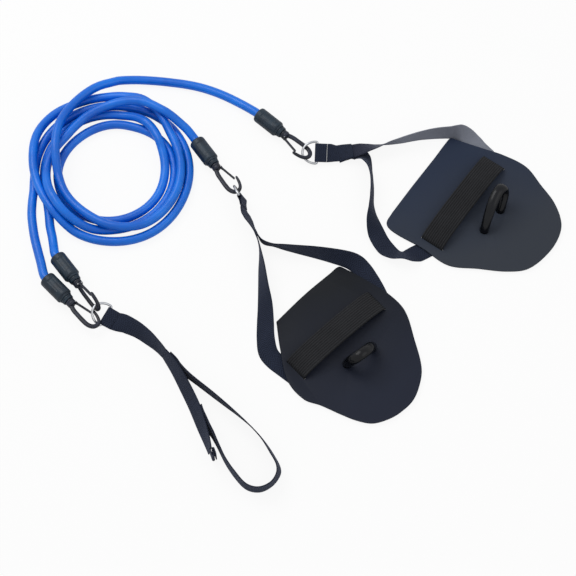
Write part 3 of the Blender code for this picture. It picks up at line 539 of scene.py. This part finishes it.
def makeCap():
    big, mouth, bore = capSizes["radius"], capSizes["mouth"], capSizes["bore"]
    profile = [(-38.8, mouth + 0.3), (-38.8, 9.3), (-38.5, 9.9), (-37.9, 10.35), (-37.1, 10.6)]
    profile += [(-36.2, big)] + [(-36.2 + 0.62 * k, big) for k in range(1, 51)]
    profile += [(-4.6, big), (-3.9, big - 0.15), (-3.3, big - 0.5), (-2.9, big - 1.0), (-2.6, 9.1),
                (-2.2, 8.75), (-1.2, 8.65), (-0.4, 8.5), (0.0, 8.1), (0.0, bore),
                (-capSizes["web"], bore), (-capSizes["web"], mouth), (-38.3, mouth)]
    cap = spun("cap", profile, 96)
    low, high, halfTurn = capSizes["panel"]  # from, to, and degrees to each side
    edge, turnEdge = capSizes["panelEdge"]
    for corner in cap.data.vertices:
        x, radius = corner.co.x / mm, math.hypot(corner.co.y, corner.co.z) / mm
        if radius < capSizes["wallInside"] or x > capSizes["wallEnd"]:
            continue
        angle = math.degrees(math.atan2(corner.co.y, corner.co.z))
        along = clamped(min(x - low, high - x) / edge + 0.5)
        around = clamped((halfTurn - abs(angle)) / turnEdge + 0.5)
        fromSeam = min(abs(angle - 90), abs(angle + 90))
        ridge = capSizes["seam"] * max(0.0, 1 - fromSeam / capSizes["seamTurn"])
        scale = (radius + (ridge - capSizes["panelDepth"] * min(along, around))) / radius
        corner.co.y *= scale
        corner.co.z *= scale
    return cap


capMaster = makeCap()
collarMaster = spun("collar", [
    (0.3, 2.3), (0.3, 7.2), (0.45, 7.6), (0.8, 7.9), (2.1, 7.9), (2.3, 7.5), (2.8, 7.45), (3.0, 7.75),
    (4.3, 7.6), (4.9, 7.3), (5.3, 6.8), (5.3, 2.3)], 72)

# Snap hook: middle line and half widths, as cast
hookSizes = {
    "line": [(8.0, 0.0), (13.5, -2.5), (20.0, -4.5), (30.0, -5.2), (40.0, -5.5), (48.0, -4.8),
             (54.0, -1.4), (55.9, 4.0), (53.6, 8.8), (48.5, 11.7), (42.0, 13.3), (36.5, 13.9)],
    "halfWidths": [3.8, 3.2, 3.0, 2.9, 3.0, 2.9, 2.9, 2.7, 2.3, 2.0, 1.8, 1.4],
    "root": [(5.6, 0.01), (5.6, 5.4), (5.9, 5.85), (6.5, 6.1), (8.2, 6.1), (8.5, 5.8), (9.0, 5.75),
             (9.4, 6.1), (11.8, 6.1), (12.6, 5.8), (13.5, 4.9), (14.5, 3.2), (14.5, 0.01)],
    "halfThick": 2.3, "sides": 20, "roundness": 0.72, "tip": (0.6, 0.5),
    "hole": {"radius": 2.3, "depth": 6, "middle": 6.8},
    "pivot": (12.5, 4.8), "knuckle": 1.9, "gateThick": 3.4, "slotSide": 0.35, "slotEnd": (18.5, 11),
}


def skin(name, rows, cloth=None):
    work = bmesh.new()
    sheetMap = work.loops.layers.uv.new("cloth") if cloth else None
    made = [[work.verts.new(p) for p in row] for row in rows]
    count = len(rows[0])
    for r in range(len(made) - 1):
        for k in range(count):
            n = (k + 1) % count
            face = work.faces.new((made[r][k], made[r][n], made[r + 1][n], made[r + 1][k]))
            if cloth:
                spots = [(r, k), (r, n), (r + 1, n), (r + 1, k)]
                for loop, (row, column) in zip(face.loops, spots):
                    loop[sheetMap].uv = cloth[row][column]
    work.faces.new(list(reversed(made[0])))
    work.faces.new(made[-1])
    bmesh.ops.recalc_face_normals(work, faces=work.faces)
    mesh = bpy.data.meshes.new(name)
    work.to_mesh(mesh)
    work.free()
    piece = bpy.data.objects.new(name, mesh)
    bpy.context.scene.collection.objects.link(piece)
    return piece


def trim(piece, cutter, operation):
    modifier = piece.modifiers.new("cut", "BOOLEAN")
    modifier.operation = operation
    modifier.solver = "EXACT"
    modifier.object = cutter
    applyModifiers(piece)
    discard(cutter)


def boxBetween(low, high):
    clearSelection()
    bpy.ops.mesh.primitive_cube_add(size=1, location=[(a + b) / 2 * mm for a, b in zip(low, high)],
                                    scale=[(b - a) * mm for a, b in zip(low, high)])
    return bpy.context.object


def makeHook():
    thick, sides, roundness = hookSizes["halfThick"], hookSizes["sides"], hookSizes["roundness"]
    line = smoothLine([(x, y, w) for (x, y), w in zip(hookSizes["line"], hookSizes["halfWidths"])], 6)
    rows = []
    for k, here in enumerate(line):
        before, after = beside(line, k)
        along = Vector((after.x - before.x, after.y - before.y, 0)).normalized()
        side = Vector((-along.y, along.x, 0))
        shrink, push = (1.0, 0) if k < len(line) - 1 else hookSizes["tip"]
        row = []
        for step in range(sides):
            turn = 2 * math.pi * step / sides
            c, s = math.cos(turn), math.sin(turn)
            a = math.copysign(abs(c) ** roundness, c) * here.z * shrink
            b = math.copysign(abs(s) ** roundness, s) * thick * shrink
            row.append((Vector((here.x, here.y, 0)) + side * a + Vector((0, 0, b)) + along * push) * mm)
        rows.append(row)
    hook = skin("hook", rows)
    trim(hook, spun("hookRoot", hookSizes["root"], 64), "UNION")
    hole = hookSizes["hole"]
    clearSelection()
    bpy.ops.mesh.primitive_cylinder_add(vertices=32, radius=hole["radius"] * mm, depth=hole["depth"] * mm,
                                        location=(hole["middle"] * mm, 0, 0), rotation=(0, math.pi / 2, 0))
    trim(hook, bpy.context.object, "DIFFERENCE")
    half = hookSizes["gateThick"] / 2 + hookSizes["slotSide"]
    edge = hookSizes["knuckle"] + hookSizes["slotSide"]
    x, y = hookSizes["pivot"]
    trim(hook, boxBetween((x - edge, y - edge, -half), (*hookSizes["slotEnd"], half)), "DIFFERENCE")
    return hook


hookMaster = makeHook()
for tag, spot in connectors.items():
    settle(copyOf(capMaster, "cap_" + tag, spot["neck"]), "moulding", "cap_" + tag,
           ["tube_cap_" + tag], 35)
    settle(copyOf(collarMaster, "collar_" + tag, spot["hook"]), "moulding", "frame",
           ["hook_collar_" + tag], 35)
    settle(copyOf(hookMaster, "hook_" + tag, spot["hook"]), "hook", "frame",
           ["hook_frame_" + tag], 45)
for master in (capMaster, collarMaster, hookMaster):
    discard(master)
print("caps, collars and hooks made")

# D rings and the folded strap end sewn round each
rings = {
    "paddle_1": {"bar": (39.4, 196.5, 10.4), "heading": -2.0, "pitch": 1.0, "roll": 27.6,
                 "eyeSwing": 0.0},
    "paddle_2": {"bar": (-61.1, 123.9, 15.8), "heading": -61.5, "pitch": -0.8, "roll": 107.2,
                 "eyeSwing": -18.7},
    "anchor": {"bar": (-233.9, -42.8, 5.95), "heading": -24.7, "pitch": 33.2, "roll": 8.3,
               "eyeSwing": -28.0},
}
ringSizes = {"wire": 1.6, "inside": 26.0, "depth": 20.0, "corner": 2.2}


def ringLine():
    half = ringSizes["inside"] / 2 + ringSizes["wire"]
    corner = ringSizes["corner"]
    bow = ringSizes["depth"] - corner
    line = [(0.0, -half + corner + (2 * half - 2 * corner) * k / 8, 0) for k in range(9)]
    line += [(x - corner, half - corner + y, 0) for x, y in arc(0, 0, corner, 0, 90, 6)[1:]]
    bend = [math.radians(a) for a in range(95, 266, 5)]
    line += [(bow * math.cos(a) - corner, half * math.sin(a), 0) for a in bend]
    line += [(x - corner, -half + corner + y, 0) for x, y in arc(0, 0, corner, 270, 360, 6)[:-1]]
    return line


def makeRing(name, line):
    curve = bpy.data.curves.new(name, "CURVE")
    curve.dimensions = "3D"
    curve.bevel_depth = ringSizes["wire"] * mm
    curve.bevel_resolution = 6
    curve.use_fill_caps = False
    spline = curve.splines.new("POLY")
    spline.points.add(len(line) - 1)
    for point, place in zip(spline.points, line):
        point.co = (*(Vector(place) * mm), 1.0)
    spline.use_cyclic_u = True
    piece = bpy.data.objects.new(name, curve)
    bpy.context.scene.collection.objects.link(piece)
    choose(piece)
    bpy.ops.object.convert(target="MESH")
    bpy.ops.object.mode_set(mode="EDIT")
    faceOutward(merge=True)
    return bpy.context.object


# Webbing: frames are a middle point, the way across and the way out of the face
web = {"width": 25.0, "thick": 1.5, "sewn": 10}


def webFrames(keys, width, perSpan=10):
    places = smoothLine([Vector((x, y, 0)) for x, y, lean, lift in keys], perSpan)
    spans = [math.hypot(b[0] - a[0], b[1] - a[1]) for a, b in zip(keys, keys[1:])]
    travel = [sum(spans[:k]) for k in range(len(keys))]
    frames = []
    for k, point in enumerate(places):
        before, after = beside(places, k)
        along = (after - before).normalized()
        left = Vector((-along.y, along.x, 0))
        span = min(k // perSpan, len(spans) - 1)
        here = travel[span] + (k - span * perSpan) / perSpan * spans[span]
        lean = math.radians(valueAt([(t, key[2]) for t, key in zip(travel, keys)], here, steadySlope))
        lift = valueAt([(t, key[3]) for t, key in zip(travel, keys)], here, steadySlope)
        side = left * math.cos(lean) + Vector((0, 0, 1)) * math.sin(lean)
        rest = width / 2 * abs(math.sin(lean)) + web["thick"] / 2 * abs(math.cos(lean))
        frames.append((point + Vector((0, 0, rest + lift)), side, along.cross(side)))
    return frames


def strapPiece(name, frames, width, thick, place, columns=12, ribs=None):
    rows, cloth = [], []
    travel = 0.0
    roundness = thick / 2
    reach = width / 2 - roundness
    edge = [(roundness * math.sin(a), roundness * math.cos(a))
            for a in (math.pi / 4, math.pi / 2, math.pi * 3 / 4)]
    outline = [(-reach + 2 * reach * k / columns, -thick / 2) for k in range(columns + 1)]
    outline += [(reach + out, -up) for out, up in edge]
    outline += [(reach - 2 * reach * k / columns, thick / 2) for k in range(columns + 1)]
    outline += [(-reach - out, up) for out, up in edge]
    if ribs:
        pitch, height = ribs

        def ribbed(a, b):
            rise = height * (1 - math.cos(2 * math.pi * a / pitch)) / 2
            return b + math.copysign(rise, b) if abs(b) > thick * 0.45 else b

        outline = [(a, ribbed(a, b)) for a, b in outline]
    for k, (middle, side, face) in enumerate(frames):
        if k:
            travel += (middle - frames[k - 1][0]).length
        rows.append([place(middle + side * a + face * b) for a, b in outline])
        cloth.append([(travel * mm, a * mm) for a, b in outline])
    return skin(name, rows, cloth), travel


# Thread: each stitch is a short bead, given as rings of (place along it, size)
stitch = {"step": 2.6, "half": 0.95, "wide": 0.3, "high": 0.22, "sunk": 0.02, "sides": 6,
          "rings": [(-1.0, 0.1), (-0.62, 0.8), (0.0, 1.0), (0.62, 0.8), (1.0, 0.1)]}


# Rows of stitches on both faces; a row is a pair of (distance along, across), in mm
def sewn(name, frames, thick, rowsOfStitches, place):
    distances = [0.0]
    for a, b in zip(frames, frames[1:]):
        distances.append(distances[-1] + (b[0] - a[0]).length)

    def spotAt(distance):
        k = 0
        while k < len(distances) - 2 and distances[k + 1] < distance:
            k += 1
        here, there = frames[k], frames[k + 1]
        t = (distance - distances[k]) / max(distances[k + 1] - distances[k], 1e-6)
        return [here[n].lerp(there[n], t) for n in range(3)] + [(there[0] - here[0]).normalized()]

    points, polygons = [], []
    sides = stitch["sides"]
    for start, end in rowsOfStitches:
        span = math.hypot(end[0] - start[0], end[1] - start[1])
        count = max(1, round(span / stitch["step"]))
        for k in range(count):
            t = (k + 0.5) / count
            middle, side, face, along = spotAt(start[0] + (end[0] - start[0]) * t)
            across = start[1] + (end[1] - start[1]) * t
            way = (along * (end[0] - start[0]) + side * (end[1] - start[1])).normalized()
            for sign in (1, -1):
                up = face * sign
                broad = way.cross(up)
                first = low = len(points)
                centre = middle + side * across + up * (thick / 2 - stitch["sunk"])
                for a, r in stitch["rings"]:
                    for c in range(sides):
                        turn = math.pi * 2 * c / sides
                        points.append(place(centre + way * a * stitch["half"]
                                            + broad * math.cos(turn) * stitch["wide"] * r
                                            + up * math.sin(turn) * stitch["high"] * r))
                for ring in stitch["rings"][1:]:
                    for c in range(sides):
                        n = (c + 1) % sides
                        polygons.append((low + c, low + n, low + sides + n, low + sides + c))
                    low += sides
                polygons.append(tuple(first + c for c in reversed(range(sides))))
                polygons.append(tuple(low + c for c in range(sides)))
    piece = newPiece(name, points, polygons)
    choose(piece)
    bpy.ops.object.mode_set(mode="EDIT")
    faceOutward()
    return settle(piece, "thread", "frame", smooth=60)


def crossRows(*distances):
    return [((at, -web["sewn"]), (at, web["sewn"])) for at in distances]


def boxStitch(low, high, half=9.5):
    return [((low, -half), (low, half)), ((high, -half), (high, half)), ((low, -half), (high, -half)),
            ((low, half), (high, half)), ((low, -half), (high, half)), ((low, half), (high, -half))]


eyeSizes = {"thick": 1.4, "strapStart": 13.3, "stitched": 3.02}


def eyeFrames():
    path = [(13.0, 0.77), (10.5, 0.78), (8.0, 0.82), (5.6, 1.1), (3.4, 1.75), (1.6, 2.35)]
    path += arc(0, 0, 2.5, 90, 270, 14)
    path += [(1.6, -2.35), (3.4, -1.75), (5.6, -1.1), (8.0, -0.82), (10.5, -0.78), (13.0, -0.77)]
    frames = []
    for k, (x, z) in enumerate(path):
        before, after = beside(path, k)
        along = Vector((after[0] - before[0], 0, after[1] - before[1])).normalized()
        side = Vector((0, 1, 0))
        frames.append((Vector((x, 0, z)), side, along.cross(side)))
    return frames


for tag, spot in rings.items():
    turn = turned(spot) @ Matrix.Rotation(math.radians(spot["roll"]), 4, "X")
    holder = Matrix.Translation(world(spot["bar"])) @ turn
    ring = makeRing("ring_" + tag, ringLine())
    ring.matrix_world = holder
    settle(ring, "steel", "ring_" + tag, ["strap_ring_" + tag], 60)
    swing = Matrix.Rotation(math.radians(spot["eyeSwing"]), 4, "Y")
    spot["turn"] = (turn @ swing).to_3x3()
    spot["strapStart"] = Vector(spot["bar"]) + spot["turn"] @ Vector((eyeSizes["strapStart"], 0, 0))
    eyeHolder = holder @ swing

    def inEye(point, eyeHolder=eyeHolder):
        return eyeHolder @ (point * mm)

    eye, length = strapPiece("eye_" + tag, eyeFrames(), web["width"], eyeSizes["thick"], inEye)
    settle(eye, "webbing", "frame", ["strap_eye_" + tag])
    flatFrames = [(Vector((x, 0, 0)), Vector((0, 1, 0)), Vector((0, 0, -1))) for x in (4.0, 8.0, 13.0)]
    thread = sewn("eyeStitch_" + tag, flatFrames, eyeSizes["stitched"], crossRows(4.2, 7.6), inEye)
    length * mm

# Strap routes: x, y, lean in degrees (0 flat, 90 on edge) and lift above resting on the floor, in mm
straps = {
    "strap_1_lead": [(61.5, 197.4, 14, 4.8), (68, 198.6, 0, 4.3), (76, 199.9, -8, 4.5),
                     (87, 201.0, -16, 4.9)],
    "strap_1_upper": [
        (68, 198.6, 0, 2.1), (76, 199.9, -8, 2.3), (87, 201.0, -16, 2.6), (98, 202.8, -24, 3.5),
        (108, 204.8, -37, 2.0), (118.5, 206.6, -50, 0.3), (129.5, 209.0, -62, 0), (138, 211.0, -70, 0),
        (148, 213.4, -76, 0), (157.5, 215.9, -81, 0), (167, 218.7, -84, 0), (180, 222.0, -88, 0),
        (193, 224.4, -93, 0), (206, 226.0, -97, 0), (219, 226.8, -100, 0), (229, 227.3, -112, 0),
        (237, 226.8, -140, 0), (244, 224.5, -164, 0), (251.5, 218.5, -179, 0), (259, 208.5, -180, 0),
        (270, 196.0, -180, 0)],
    "strap_1_lower": [
        (68, 198.6, 0, 0), (76, 199.9, -8, 0), (86.5, 200.8, -15, 0), (95.5, 198.0, -16, 0),
        (101.5, 192.5, -29, 0), (106, 184.0, -53, 0), (110.3, 169.0, -74, 0), (112.2, 153.5, -79, 0),
        (112.3, 140.0, -79, 0), (111.5, 126.0, -78, 0), (111.5, 111.0, -68, 0), (113.2, 92.0, -38, 0),
        (118.7, 73.0, -12, 0), (127.5, 57.5, -10, 0), (138, 46.8, -28, 0), (149, 43.2, -44, 0),
        (160, 44.8, -22, 0), (171, 50.0, 0, 0), (182, 56.0, 0, 0), (194, 63.5, 0, 0)],
    "strap_2_lead": [
        (-58.0, 106.5, 112, 3.0), (-55.4, 100.5, 119, 2.2), (-52.2, 94.0, 118, 1.4),
        (-49.0, 87.5, 112, 0.6), (-45.4, 80.0, 106, 0.1), (-42.9, 73.8, 101, 0)],
    "strap_2_left": [
        (-42.7, 73.2, 100, 0), (-39, 62.0, 96, 0), (-36.5, 45.0, 86, 0), (-34.5, 25.0, 72, 0),
        (-32, -4.0, 58, 0), (-29.5, -30.0, 40, 0), (-29, -54.0, 28, 0), (-28.5, -74.0, 22, 0),
        (-25.3, -91.5, 7, 0), (-17.5, -102.0, 0, 0), (-5.5, -112.0, 0, 0), (6.5, -121.6, 0, 0),
        (17, -130.0, 0, 0)],
    "strap_2_right": [
        (-40.7, 73.9, 100, 0), (-37.8, 67.0, 100, 0), (-32, 60.6, 103, 0), (-20, 56.6, 108, 0),
        (-5, 53.2, 99, 0), (14, 49.6, 89, 0), (35, 45.8, 78, 0), (58, 41.0, 65, 0), (78, 36.0, 50, 0),
        (90, 31.0, 26, 0), (98.5, 23.5, 6, 0), (106, 12.0, 0, 0), (113, -2.0, 0, 0), (119, -16.0, 0, 0)],
    "anchor_strap": [
        (-207.9, -55.0, 40, 0.2), (-192.5, -63.7, 54, 0), (-177.4, -75.6, 63, 0), (-165.5, -87.0, 73, 0),
        (-157.2, -96.6, 77, 0)],
    "anchor_tail": [
        (-156.9, -97.1, 77, 0), (-147, -110.5, 68, 0), (-140.4, -121.0, 64, 0), (-128.4, -144.0, 60, 0),
        (-116.8, -168.4, 59, 0), (-107.6, -192.5, 63, 0), (-100.2, -213.3, 72, 0),
        (-96.0, -227.0, 80, 0)],
    "anchor_loop": [
        (-150.7, -102.1, 72, 0), (-144.4, -108.9, 71, 0), (-136.5, -117.0, 80, 0), (-126, -126.5, 88, 0),
        (-114, -136.5, 91, 0), (-98, -149.5, 92, 0), (-80, -164.5, 95, 0), (-63, -179.0, 100, 0),
        (-47, -194.0, 103, 0), (-31.5, -212.0, 102, 0), (-19, -232.0, 104, 0), (-11.5, -248.5, 102, 0),
        (-14, -261.0, 93, 0), (-23, -271.5, 88, 0), (-36.5, -276.5, 88, 0), (-51, -272.5, 90, 0),
        (-64.5, -258.0, 92, 0), (-76.6, -240.0, 91, 0), (-86, -220.5, 92, 0), (-93, -206.0, 96, 0),
        (-99.2, -196.0, 102, 0), (-104.6, -187.5, 110, 0), (-109.6, -180.0, 118, 0),
        (-113.2, -171.0, 120, 0)],
}
ringOf = {"strap_1_lead": "paddle_1", "strap_2_lead": "paddle_2", "anchor_strap": "anchor"}
sewing = {
    "strap_1_lead": boxStitch(17.5, 33.5),
    "strap_2_lead": crossRows(20.0, 24.0),
    "strap_2_left": crossRows(2.5),
    "anchor_strap": crossRows(64.0, 67.5),
    "anchor_tail": crossRows(3.0, 72.0, 80.0),
    "anchor_loop": crossRows(3.0),
}
for name, keys in straps.items():
    frames = webFrames(keys, web["width"])
    if name in ringOf:
        spot = rings[ringOf[name]]
        start, first = spot["strapStart"], frames[0]
        side, face = spot["turn"] @ Vector((0, 1, 0)), spot["turn"] @ Vector((0, 0, 1))
        eased = [(start.lerp(first[0], t), side.lerp(first[1], t).normalized(),
                  face.lerp(first[2], t).normalized()) for t in (0.0, 0.25, 0.5, 0.75)]
        frames = eased + frames
    piece, length = strapPiece(name + "_cloth", frames, web["width"], web["thick"], world)
    # The upper strap gets the webbing with the painted sheen along its length
    settle(piece, "sheenPaintedWebbing" if name == "strap_1_upper" else "webbing", "frame", [name])
    if name in sewing:
        sewn(name + "_stitch", frames, web["thick"], sewing[name], world)
    length * mm
    print(name, "flat length", round(length, 1))

# The tail's end, folded twice
hemFrames = []
hem = {"start": (-95.9, -227.3, 0.0), "heading": -70.0, "length": 8.0, "turn": 1.2}
hem["path"] = ([(0.0, 0.0), (hem["length"], 0.0)]
               + arc(hem["length"], hem["turn"], hem["turn"], -90, 90, 10)
               + [(2.0, 2 * hem["turn"])] + arc(2.0, 3 * hem["turn"], hem["turn"], -90, -270, 10)
               + [(hem["length"] + 1.0, 4 * hem["turn"])])
for k, (x, y) in enumerate(hem["path"]):
    before, after = beside(hem["path"], k)
    turn = Matrix.Rotation(math.radians(hem["heading"]), 3, "Z")
    along = turn @ Vector((after[0] - before[0], after[1] - before[1], 0)).normalized()
    up = Vector((0, 0, 1))
    middle = Vector(hem["start"]) + turn @ Vector((x, y, 0)) + up * web["width"] / 2
    hemFrames.append((middle, up, along.cross(up)))
hemPiece, length = strapPiece("anchor_tail_hem_cloth", hemFrames, web["width"], web["thick"], world)
settle(hemPiece, "webbing", "frame", ["anchor_tail_hem"])
length * mm
print("straps made")

# Hand paddles: foam-skinned board, elastic hand band and rubber finger loop
paddles = {
    1: {"outline": [(138, 108), (166, 148), (198, 192), (214, 215), (221, 222.5), (229, 220),
                    (262, 207.5), (292, 196), (321, 178), (339, 150), (355, 123), (362, 94), (357, 72),
                    (341, 48), (314, 26), (286, 22), (248, 26), (209, 31), (176, 56), (140, 79),
                    (130.5, 92)],
        "elastic": [(189.5, 62.5), (277.5, 183.5)],
        "loop": [(259, 82, 1.6), (259, 82, 4), (259, 82, 7), (260, 85, 14), (263.5, 95, 25),
                 (269, 109, 34.5), (276, 122, 38.5), (282.5, 129, 35.5), (285.5, 127, 26),
                 (284, 117.5, 14), (282.3, 112.4, 7), (282, 112, 4), (282, 112, 1.6)]},
    2: {"outline": [(-15, -50), (22, -11), (55, 19), (66, 28.5), (74, 26), (105, 7), (132, -12),
                    (151, -35), (162, -76), (169, -109), (168, -129), (158, -156), (140, -174),
                    (124, -183), (105, -188), (85, -184), (66, -176), (41, -164), (20, -156), (0, -132),
                    (-10, -88)],
        "elastic": [(10, -116.5), (114, -21)],
        "loop": [(75, -109, 1.6), (75, -109, 4), (75, -109, 7), (76, -110.5, 15), (80.5, -112, 27),
                 (88, -110, 34.5), (96.5, -103.5, 34.5), (103.5, -95, 27), (106.8, -88.5, 15),
                 (107, -87, 7), (107, -87, 4), (107, -87, 1.6)]},
}
paddleSizes = {
    "under": 2.3, "thick": 2.6, "edge": 0.8, "slot": 2.4, "slotSide": 0.3, "holeSide": 0.5,
    "cutMiddle": 4, "cutDepth": 12, "elasticWidth": 33.0, "elasticThick": 1.5, "elasticRise": 13.0,
    "loopRadius": 5.2, "loopRound": 9.0,
}


def makePaddle(number, outline, elastic, loop):
    under, thick = paddleSizes["under"], paddleSizes["thick"]
    line = smoothLine([(x, y, 0) for x, y in outline + outline[:1]], 8)[:-1]
    corners = [world((p.x, p.y, under)) for p in line]
    board = newPiece("board_%d" % number, corners, [tuple(range(len(line)))])
    choose(board)
    bpy.ops.object.mode_set(mode="EDIT")
    bpy.ops.mesh.select_all(action="SELECT")
    bpy.ops.mesh.extrude_region_move(TRANSFORM_OT_translate={"value": (0, 0, thick * mm)})
    faceOutward()
    low, high = [Vector((*p, 0)) for p in elastic]
    along = (high - low).normalized()
    side = Vector((-along.y, along.x, 0))
    slot = (paddleSizes["slot"] * mm, (paddleSizes["elasticWidth"] + paddleSizes["slotSide"]) * mm,
            paddleSizes["cutDepth"] * mm)
    for end in (low, high):
        clearSelection()
        bpy.ops.mesh.primitive_cube_add(size=1, location=world((end.x, end.y, paddleSizes["cutMiddle"])),
                                        rotation=(0, 0, math.atan2(along.y, along.x)), scale=slot)
        trim(board, bpy.context.object, "DIFFERENCE")
    hole = (paddleSizes["loopRadius"] + paddleSizes["holeSide"]) * mm
    for foot in (loop[0], loop[-1]):
        clearSelection()
        bpy.ops.mesh.primitive_cylinder_add(vertices=48, radius=hole, depth=paddleSizes["cutDepth"] * mm,
                                            location=world((*foot[:2], paddleSizes["cutMiddle"])))
        trim(board, bpy.context.object, "DIFFERENCE")
    softened = board.modifiers.new("edge", "BEVEL")
    softened.width = paddleSizes["edge"] * mm
    softened.segments = 3
    softened.limit_method = "ANGLE"
    softened.angle_limit = math.radians(50)
    softened.use_clamp_overlap = True
    applyModifiers(board)
    settle(board, "board_%d" % number, "frame", ["paddle_%d_board" % number], 30)

    # The elastic band rises out of its slots; shape is (distance from the slot, height)
    top = under + thick
    crest = top + paddleSizes["elasticRise"]
    shape = [(0.0, under + 0.1), (0.0, under + 1.5), (0.1, top), (0.7, top + 1.8), (2.6, top + 4.0),
             (9.0, top + 7.0), (24.0, top + 10.6), (46.0, crest)]
    points = [low + along * s + Vector((0, 0, z)) for s, z in shape]
    points += [low + along * (high - low).length / 2 + Vector((0, 0, crest + 0.4))]
    points += [high - along * s + Vector((0, 0, z)) for s, z in reversed(shape)]
    fine = smoothLine(points, 5)
    frames = []
    for k, p in enumerate(fine):
        before, after = beside(fine, k)
        frames.append((p, side, side.cross((after - before).normalized()) * -1))
    band, length = strapPiece("elastic_%d" % number, frames, paddleSizes["elasticWidth"],
                              paddleSizes["elasticThick"], world, columns=88, ribs=(3.0, 0.36))
    settle(band, "elastic", "frame", ["paddle_%d_hand_elastic" % number])
    length * mm

    # The loop's rubber is round at its feet and broad and flat over the finger
    route = smoothLine(loop, 8)
    crown = max(p.z for p in route)
    roundTo, radius = paddleSizes["loopRound"], paddleSizes["loopRadius"]
    span = Vector(loop[-1]) - Vector(loop[0])
    rows = []
    for k, p in enumerate(route):
        before, after = beside(route, k)
        ahead = (after - before).normalized()
        broadWay = ahead.cross(Vector((0, 0, 1)).cross(span).normalized().cross(ahead)).normalized()
        thinWay = ahead.cross(broadWay)
        rise = clamped((p.z - roundTo) / (crown - roundTo))
        ease = rise * rise * (3 - 2 * rise)
        collar = clamped((p.z - top - 0.4) / 1.5)
        broad = radius + 0.7 * collar + 1.3 * ease
        thin = radius + 0.4 * collar - 1.0 * ease
        rows.append([world(p + broadWay * broad * math.cos(math.pi * c / 14)
                           + thinWay * thin * math.sin(math.pi * c / 14)) for c in range(28)])
    strip = skin("fingerLoop_%d" % number, rows)
    settle(strip, "rubber", "frame", ["paddle_%d_finger_loop" % number], 60)


for number, paddle in paddles.items():
    makePaddle(number, **paddle)
print("paddles made")

# CAD nodes that stay get their own finish
staying = {"swivel_stem_": "steel", "gate_pin_": "steel", "hook_gate_": "hook", "_loop_stop_": "rubber"}
for name, node in frame["nodes"].items():
    for part, look in staying.items():
        if part in name:
            node.data.materials.clear()
            node.data.materials.append(looks[look])

# Floor, world and lamps
stage = {"floorSize": 8, "floorLevel": -0.0006, "paper": (0.94, 0.94, 0.94, 1), "paperGlow": 0.9,
         "sky": 0.5, "skySeen": 0.5}
clearSelection()
bpy.ops.mesh.primitive_plane_add(size=stage["floorSize"], location=(0, 0, stage["floorLevel"]))
floor = bpy.context.object
floor.name = "floor"
paper = Finish("paper", Roughness=0.95, Specular_IOR_Level=0.0)
paper.shader.inputs["Base Color"].default_value = stage["paper"]
glow = paper.node("ShaderNodeEmission", None, {"Color": (1, 1, 1, 1), "Strength": 1.0})
rays = paper.node("ShaderNodeLightPath")
seen = Shade(paper.tree, rays.socket.node.outputs["Is Camera Ray"])
blend = paper.node("ShaderNodeMixShader", None,
                   {0: seen * stage["paperGlow"], 1: Shade(paper.tree, paper.shader.outputs[0]), 2: glow})
paper.tree.links.new(blend.socket, paper.tree.nodes["Material Output"].inputs["Surface"])
floor.data.materials.append(paper.material)

sky = bpy.data.worlds.new("sky")
sky.use_nodes = True
bpy.context.scene.world = sky
air = sky.node_tree.nodes["Background"]
air.inputs["Color"].default_value = (1, 1, 1, 1)
path = sky.node_tree.nodes.new("ShaderNodeLightPath")
camRay, glossRay, throughRay = [Shade(sky.node_tree, path.outputs[n])
                                for n in ("Is Camera Ray", "Is Glossy Ray", "Is Transmission Ray")]
seenSky = camRay.maths("MAXIMUM", throughRay, camRay.maths("MAXIMUM", camRay, glossRay))
strength = seenSky * stage["skySeen"] + stage["sky"]
sky.node_tree.links.new(strength.socket, air.inputs["Strength"])

lamps = {
    "key": {"place": (-0.9, 0.8, 1.5), "size": 1.1, "power": 13.0},
    "fill": {"place": (1.1, -0.3, 1.5), "size": 1.4, "power": 5.0},
}
for name, lamp in lamps.items():
    data = bpy.data.lights.new(name, "AREA")
    data.shape = "SQUARE"
    data.size = lamp["size"]
    data.energy = lamp["power"]
    thing = bpy.data.objects.new(name, data)
    bpy.context.scene.collection.objects.link(thing)
    thing.location = lamp["place"]
    thing.rotation_euler = (-Vector(lamp["place"])).to_track_quat("-Z", "Y").to_euler()
bpy.context.scene.view_settings.view_transform = "Standard"
